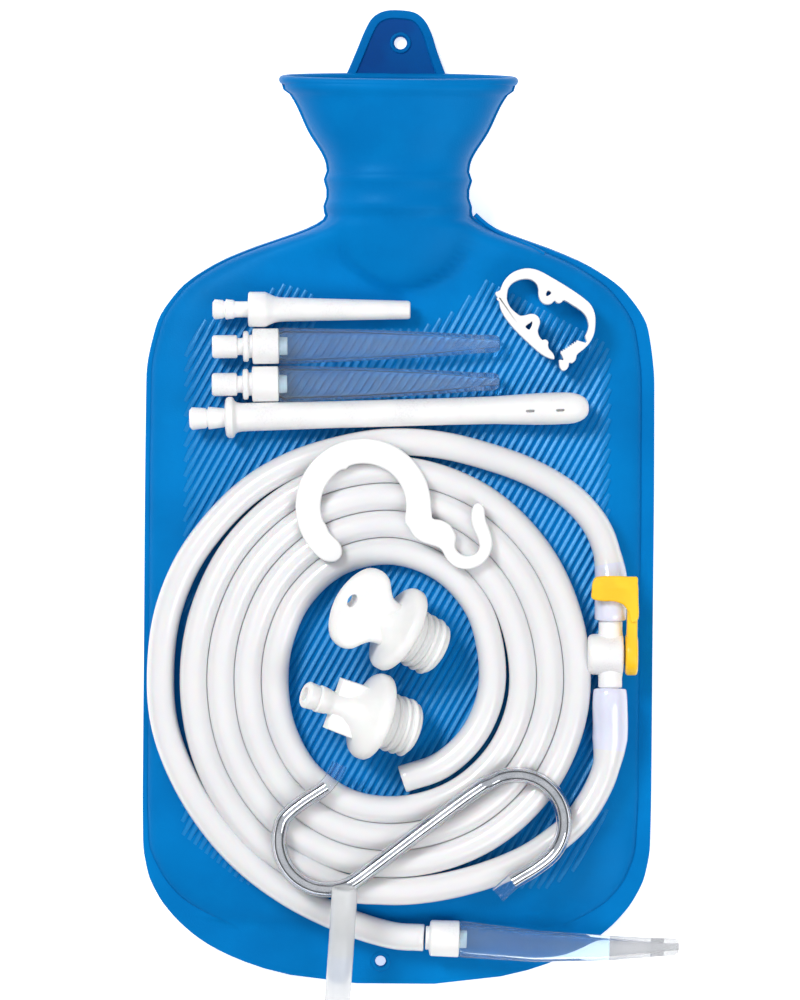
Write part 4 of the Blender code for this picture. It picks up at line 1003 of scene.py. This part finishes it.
BLUE_SHEEN = (0.12, 0.55, 1.0, 1.0)
blue_rubber = finish_for("blue_rubber", (0.0, 0.185, 0.53), (0.0, 0.155, 0.46), (0.36, 0.54),
                         22.0, 1500.0, 0.00012, 0.35, bloom=(0.14, 55.0, (0.0, 0.25, 0.63)),
                         Specular_IOR_Level=0.24, Specular_Tint=BLUE_SHEEN)
# Painted highlight: a lighter copy of the bag rubber for the ribs, so they read as bright lit lines.
rib_highlight_rubber = finish_for("rib_highlight_rubber", (0.0, 0.20, 0.545), (0.0, 0.165, 0.48), (0.26, 0.4),
                        26.0, 1600.0, 0.0001, 0.3, bloom=(0.10, 60.0, (0.0, 0.25, 0.62)),
                        Specular_IOR_Level=0.75, Specular_Tint=(0.35, 0.72, 1.0, 1.0))
# Painted shade: a darker copy of the bag rubber for the tab, which lies low behind the funnel's mouth in its
# shadow.
tab_shaded_rubber = finish_for("tab_shaded_rubber", (0.0, 0.155, 0.47), (0.0, 0.125, 0.41), (0.38, 0.55),
                        40.0, 1500.0, 0.0001, 0.3, Specular_IOR_Level=0.25, Specular_Tint=BLUE_SHEEN)
# Painted shade: a darker copy of the tab rubber for the tab's recessed middle, where shade falls.
recess_painted_shade_rubber = finish_for("tab_recess_painted_shade_rubber", (0.004, 0.085, 0.33), (0.006, 0.06, 0.27), (0.4, 0.6),
                           45.0, 1500.0, 0.0001, 0.3, Specular_IOR_Level=0.2, Specular_Tint=BLUE_SHEEN)
silicone = finish_for("milky_silicone", (0.80, 0.80, 0.815), (0.765, 0.77, 0.79), (0.18, 0.26),
                      22.0, 420.0, 0.00005, 0.15,
                      Subsurface_Weight=0.3, Subsurface_Scale=0.003, Specular_IOR_Level=0.75)
cuff_silicone = finish_for("stretched_silicone", (0.76, 0.78, 0.93), (0.72, 0.745, 0.9), (0.1, 0.18),
                           30.0, 420.0, 0.00004, 0.1,
                           Subsurface_Weight=0.2, Subsurface_Scale=0.003, Specular_IOR_Level=0.8)
white_plastic = finish_for("white_plastic", (0.9, 0.9, 0.9), (0.85, 0.85, 0.86), (0.24, 0.4),
                           80.0, 1200.0, 0.00006, 0.2, Subsurface_Weight=0.15, Subsurface_Scale=0.002)
thread_plastic = finish_for("white_thread_plastic", (0.9, 0.9, 0.895), (0.84, 0.84, 0.84), (0.3, 0.46),
                            70.0, 1000.0, 0.00008, 0.25, Subsurface_Weight=0.15, Subsurface_Scale=0.002)
clamp_plastic = finish_for("white_clamp_plastic", (0.9, 0.9, 0.9), (0.86, 0.86, 0.87), (0.28, 0.42),
                           90.0, 1300.0, 0.00006, 0.2)
hook_plastic = finish_for("white_hook_plastic", (0.92, 0.92, 0.92), (0.88, 0.88, 0.885), (0.3, 0.42),
                          60.0, 1300.0, 0.00005, 0.15)
clear_plastic = finish_for("frosted_clear_plastic", (0.86, 0.95, 1.0), (0.80, 0.92, 1.0), (0.1, 0.18),
                           50.0, 700.0, 0.00004, 0.12,
                           Transmission_Weight=0.95, IOR=1.15, Sheen_Weight=0.3, Sheen_Roughness=0.3)
# Painted shade: a greyer, less clear copy of the tip plastic for the fitted tip's end where it lies over the white
# floor.
tip_end_shade_plastic = finish_for("tip_end_painted_shade", (0.74, 0.745, 0.76), (0.68, 0.69, 0.705), (0.12, 0.2), 50.0, 700.0,
                         0.00004, 0.12, Transmission_Weight=0.8, IOR=1.2)
sleeve_plastic = finish_for("clear_wire_sleeve", (0.97, 0.98, 1.0), (0.93, 0.95, 0.98), (0.02, 0.05),
                            60.0, 600.0, 0.00002, 0.05, Transmission_Weight=0.99, IOR=1.06)
tube_plastic = finish_for("smoky_tube_plastic", (0.93, 0.94, 0.955), (0.87, 0.885, 0.9), (0.12, 0.22),
                          40.0, 500.0, 0.00005, 0.15, Transmission_Weight=0.45, IOR=1.3)
lever_plastic = finish_for("yellow_lever_plastic", (1.0, 0.63, 0.012), (0.97, 0.55, 0.01), (0.28, 0.42),
                           80.0, 1200.0, 0.00006, 0.2, Specular_IOR_Level=0.5)
steel = finish_for("bright_steel_wire", (0.66, 0.67, 0.69), (0.55, 0.56, 0.58), (0.03, 0.07),
                   120.0, 2500.0, 0.00002, 0.08, Metallic=1.0)

# ====== what each piece rides on ===================================================================


def belongs(piece, finish, body, slot, *stands_for):
    piece.data.materials.clear()
    piece.data.materials.append(finish)
    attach(piece, body)
    if stands_for:
        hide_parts(*stands_for)


def second_finish(piece, finish, wanted):
    """Gives the faces that the test picks a finish of their own."""
    piece.data.materials.append(finish)
    for face in piece.data.polygons:
        if wanted(face):
            face.material_index = 1


# Faces round a hose, its cuffs' lengths in rings, the tab's recess, and where the fitted tip clears the bag.
HOSE_FACES = 20
MAIN_CUFF_RINGS, END_CUFF_RINGS = 5, 18
RECESS_LOW, RECESS_HIGH = 2.4, 3.0
TIP_CLEAR = 78.0

belongs(hose_main, silicone, "hose", "hose_silicone", "hose_coil", "hose_to_valve")
belongs(hose_end, silicone, "hose", "hose_silicone", "hose_to_nozzle")
belongs(spare, tube_plastic, "spare_tube", "tube_plastic", "spare_tube")
belongs(bag_front, blue_rubber, "bag", "bag_rubber", "bag_front_shell")
belongs(bag_back, blue_rubber, "bag", "bag_rubber", "bag_back_shell")
for piece, finish in ((mouth_bead, blue_rubber), (eyelet, blue_rubber), (tab, tab_shaded_rubber),
                      (tab_eye, tab_shaded_rubber), (ribs, rib_highlight_rubber), (shoulder_bead, blue_rubber)):
    belongs(piece, finish, "bag", "bag_rubber")

# The tab's recessed middle gets the darker copy: painted shade in the recess.
second_finish(tab, recess_painted_shade_rubber,
              lambda face: face.normal.z > 0.99 and RECESS_LOW * MM < face.center.z < RECESS_HIGH * MM)
second_finish(hose_main, cuff_silicone,
              lambda face: face.index // HOSE_FACES > len(main_line) - MAIN_CUFF_RINGS)
second_finish(hose_end, cuff_silicone, lambda face: face.index // HOSE_FACES < END_CUFF_RINGS)
belongs(valve_body, white_plastic, "hose", "valve_plastic", "valve_body")
belongs(lever, lever_plastic, "valve_lever", "lever_plastic", "valve_lever")
belongs(short_nozzle, white_plastic, "short_nozzle", "nozzle_plastic", "short_nozzle")
belongs(long_nozzle, white_plastic, "long_nozzle", "nozzle_plastic", "long_nozzle")
for name, plug, tip in clear_pieces:
    belongs(plug, white_plastic, name, "nozzle_plastic", f"{name}_core")
    belongs(tip, clear_plastic, name, "clear_plastic", f"{name}_sleeve")
belongs(fitted_core, white_plastic, "hose", "nozzle_plastic", "fitted_nozzle_core")
belongs(fitted_tip, clear_plastic, "hose", "clear_plastic", "fitted_nozzle_sleeve")
# The fitted tip's end beyond the bag gets the grey copy: painted shade.
second_finish(fitted_tip, tip_end_shade_plastic, lambda face: face.center.x > TIP_CLEAR * MM)
belongs(stopper, thread_plastic, "stopper", "thread_plastic", "stopper")
belongs(stopper_thread, thread_plastic, "stopper", "thread_plastic")
belongs(adapter, thread_plastic, "hose_adapter", "thread_plastic", "hose_adapter")
belongs(adapter_thread, thread_plastic, "hose_adapter", "thread_plastic")
belongs(clamp_frame, clamp_plastic, "clamp", "clamp_plastic", "clamp_frame")
belongs(clamp_arm, clamp_plastic, "clamp_arm", "clamp_plastic", "clamp_arm")
belongs(hanger_hook, hook_plastic, "hanger_hook", "hook_plastic", "hanger_hook")
belongs(wire, steel, "s_hook", "steel_wire", "s_hook_wire")
belongs(wire_sleeve, sleeve_plastic, "s_hook", "clear_plastic", "s_hook_sleeve")
for name, finish in (("neck_bush", thread_plastic), ("valve_spindle", white_plastic)):
    for slot in nodes[name].material_slots:
        slot.material = finish

# ====== lightbox ===================================================================================
clear_bench()
bpy.ops.mesh.primitive_plane_add(size=6.0)
floor = bpy.context.object
floor.name = "studio_floor"
floor_finish = finish_for("studio_floor", (0.93, 0.93, 0.93), (0.92, 0.92, 0.92), (0.6, 0.7),
                          3.0, 60.0, 0.0001, 0.05, Emission_Color=(1, 1, 1, 1), Emission_Strength=0.6)
floor.data.materials.append(floor_finish)


def panel_light(name, where, size, power, colour=(1, 1, 1)):
    data = bpy.data.lights.new(name, "AREA")
    data.shape = "DISK"
    data.size = size
    data.energy = power
    data.color = colour
    lamp = link(name, data)
    lamp.location = where
    lamp.rotation_euler = (-Vector(where)).to_track_quat("-Z", "Y").to_euler()
    return lamp


panel_light("key_panel", (-1.15, 1.1, 2.1), 0.8, 35.0)
panel_light("fill_panel", (1.2, -1.1, 1.7), 1.4, 17.0)

world = bpy.data.worlds.new("lightbox")
bpy.context.scene.world = world
world.use_nodes = True
sky = world.node_tree
sky_coord = add(sky, "ShaderNodeTexCoord")
sky_parts = add(sky, "ShaderNodeSeparateXYZ")
sky_ramp = add(sky, "ShaderNodeMapRange", interpolation_type="SMOOTHSTEP")
sky_ramp.inputs["From Min"].default_value, sky_ramp.inputs["From Max"].default_value = 0.3, 0.85
sky_ramp.inputs["To Min"].default_value, sky_ramp.inputs["To Max"].default_value = 0.12, 0.8
tie(sky, sky_coord.outputs["Generated"], sky_parts.inputs["Vector"])
tie(sky, sky_parts.outputs["Z"], sky_ramp.inputs["Value"])
tie(sky, sky_ramp.outputs["Result"], sky.nodes["Background"].inputs["Strength"])
sky.nodes["Background"].inputs["Color"].default_value = (1, 1, 1, 1)
bpy.context.scene.view_settings.view_transform = "Standard"

clear_bench()
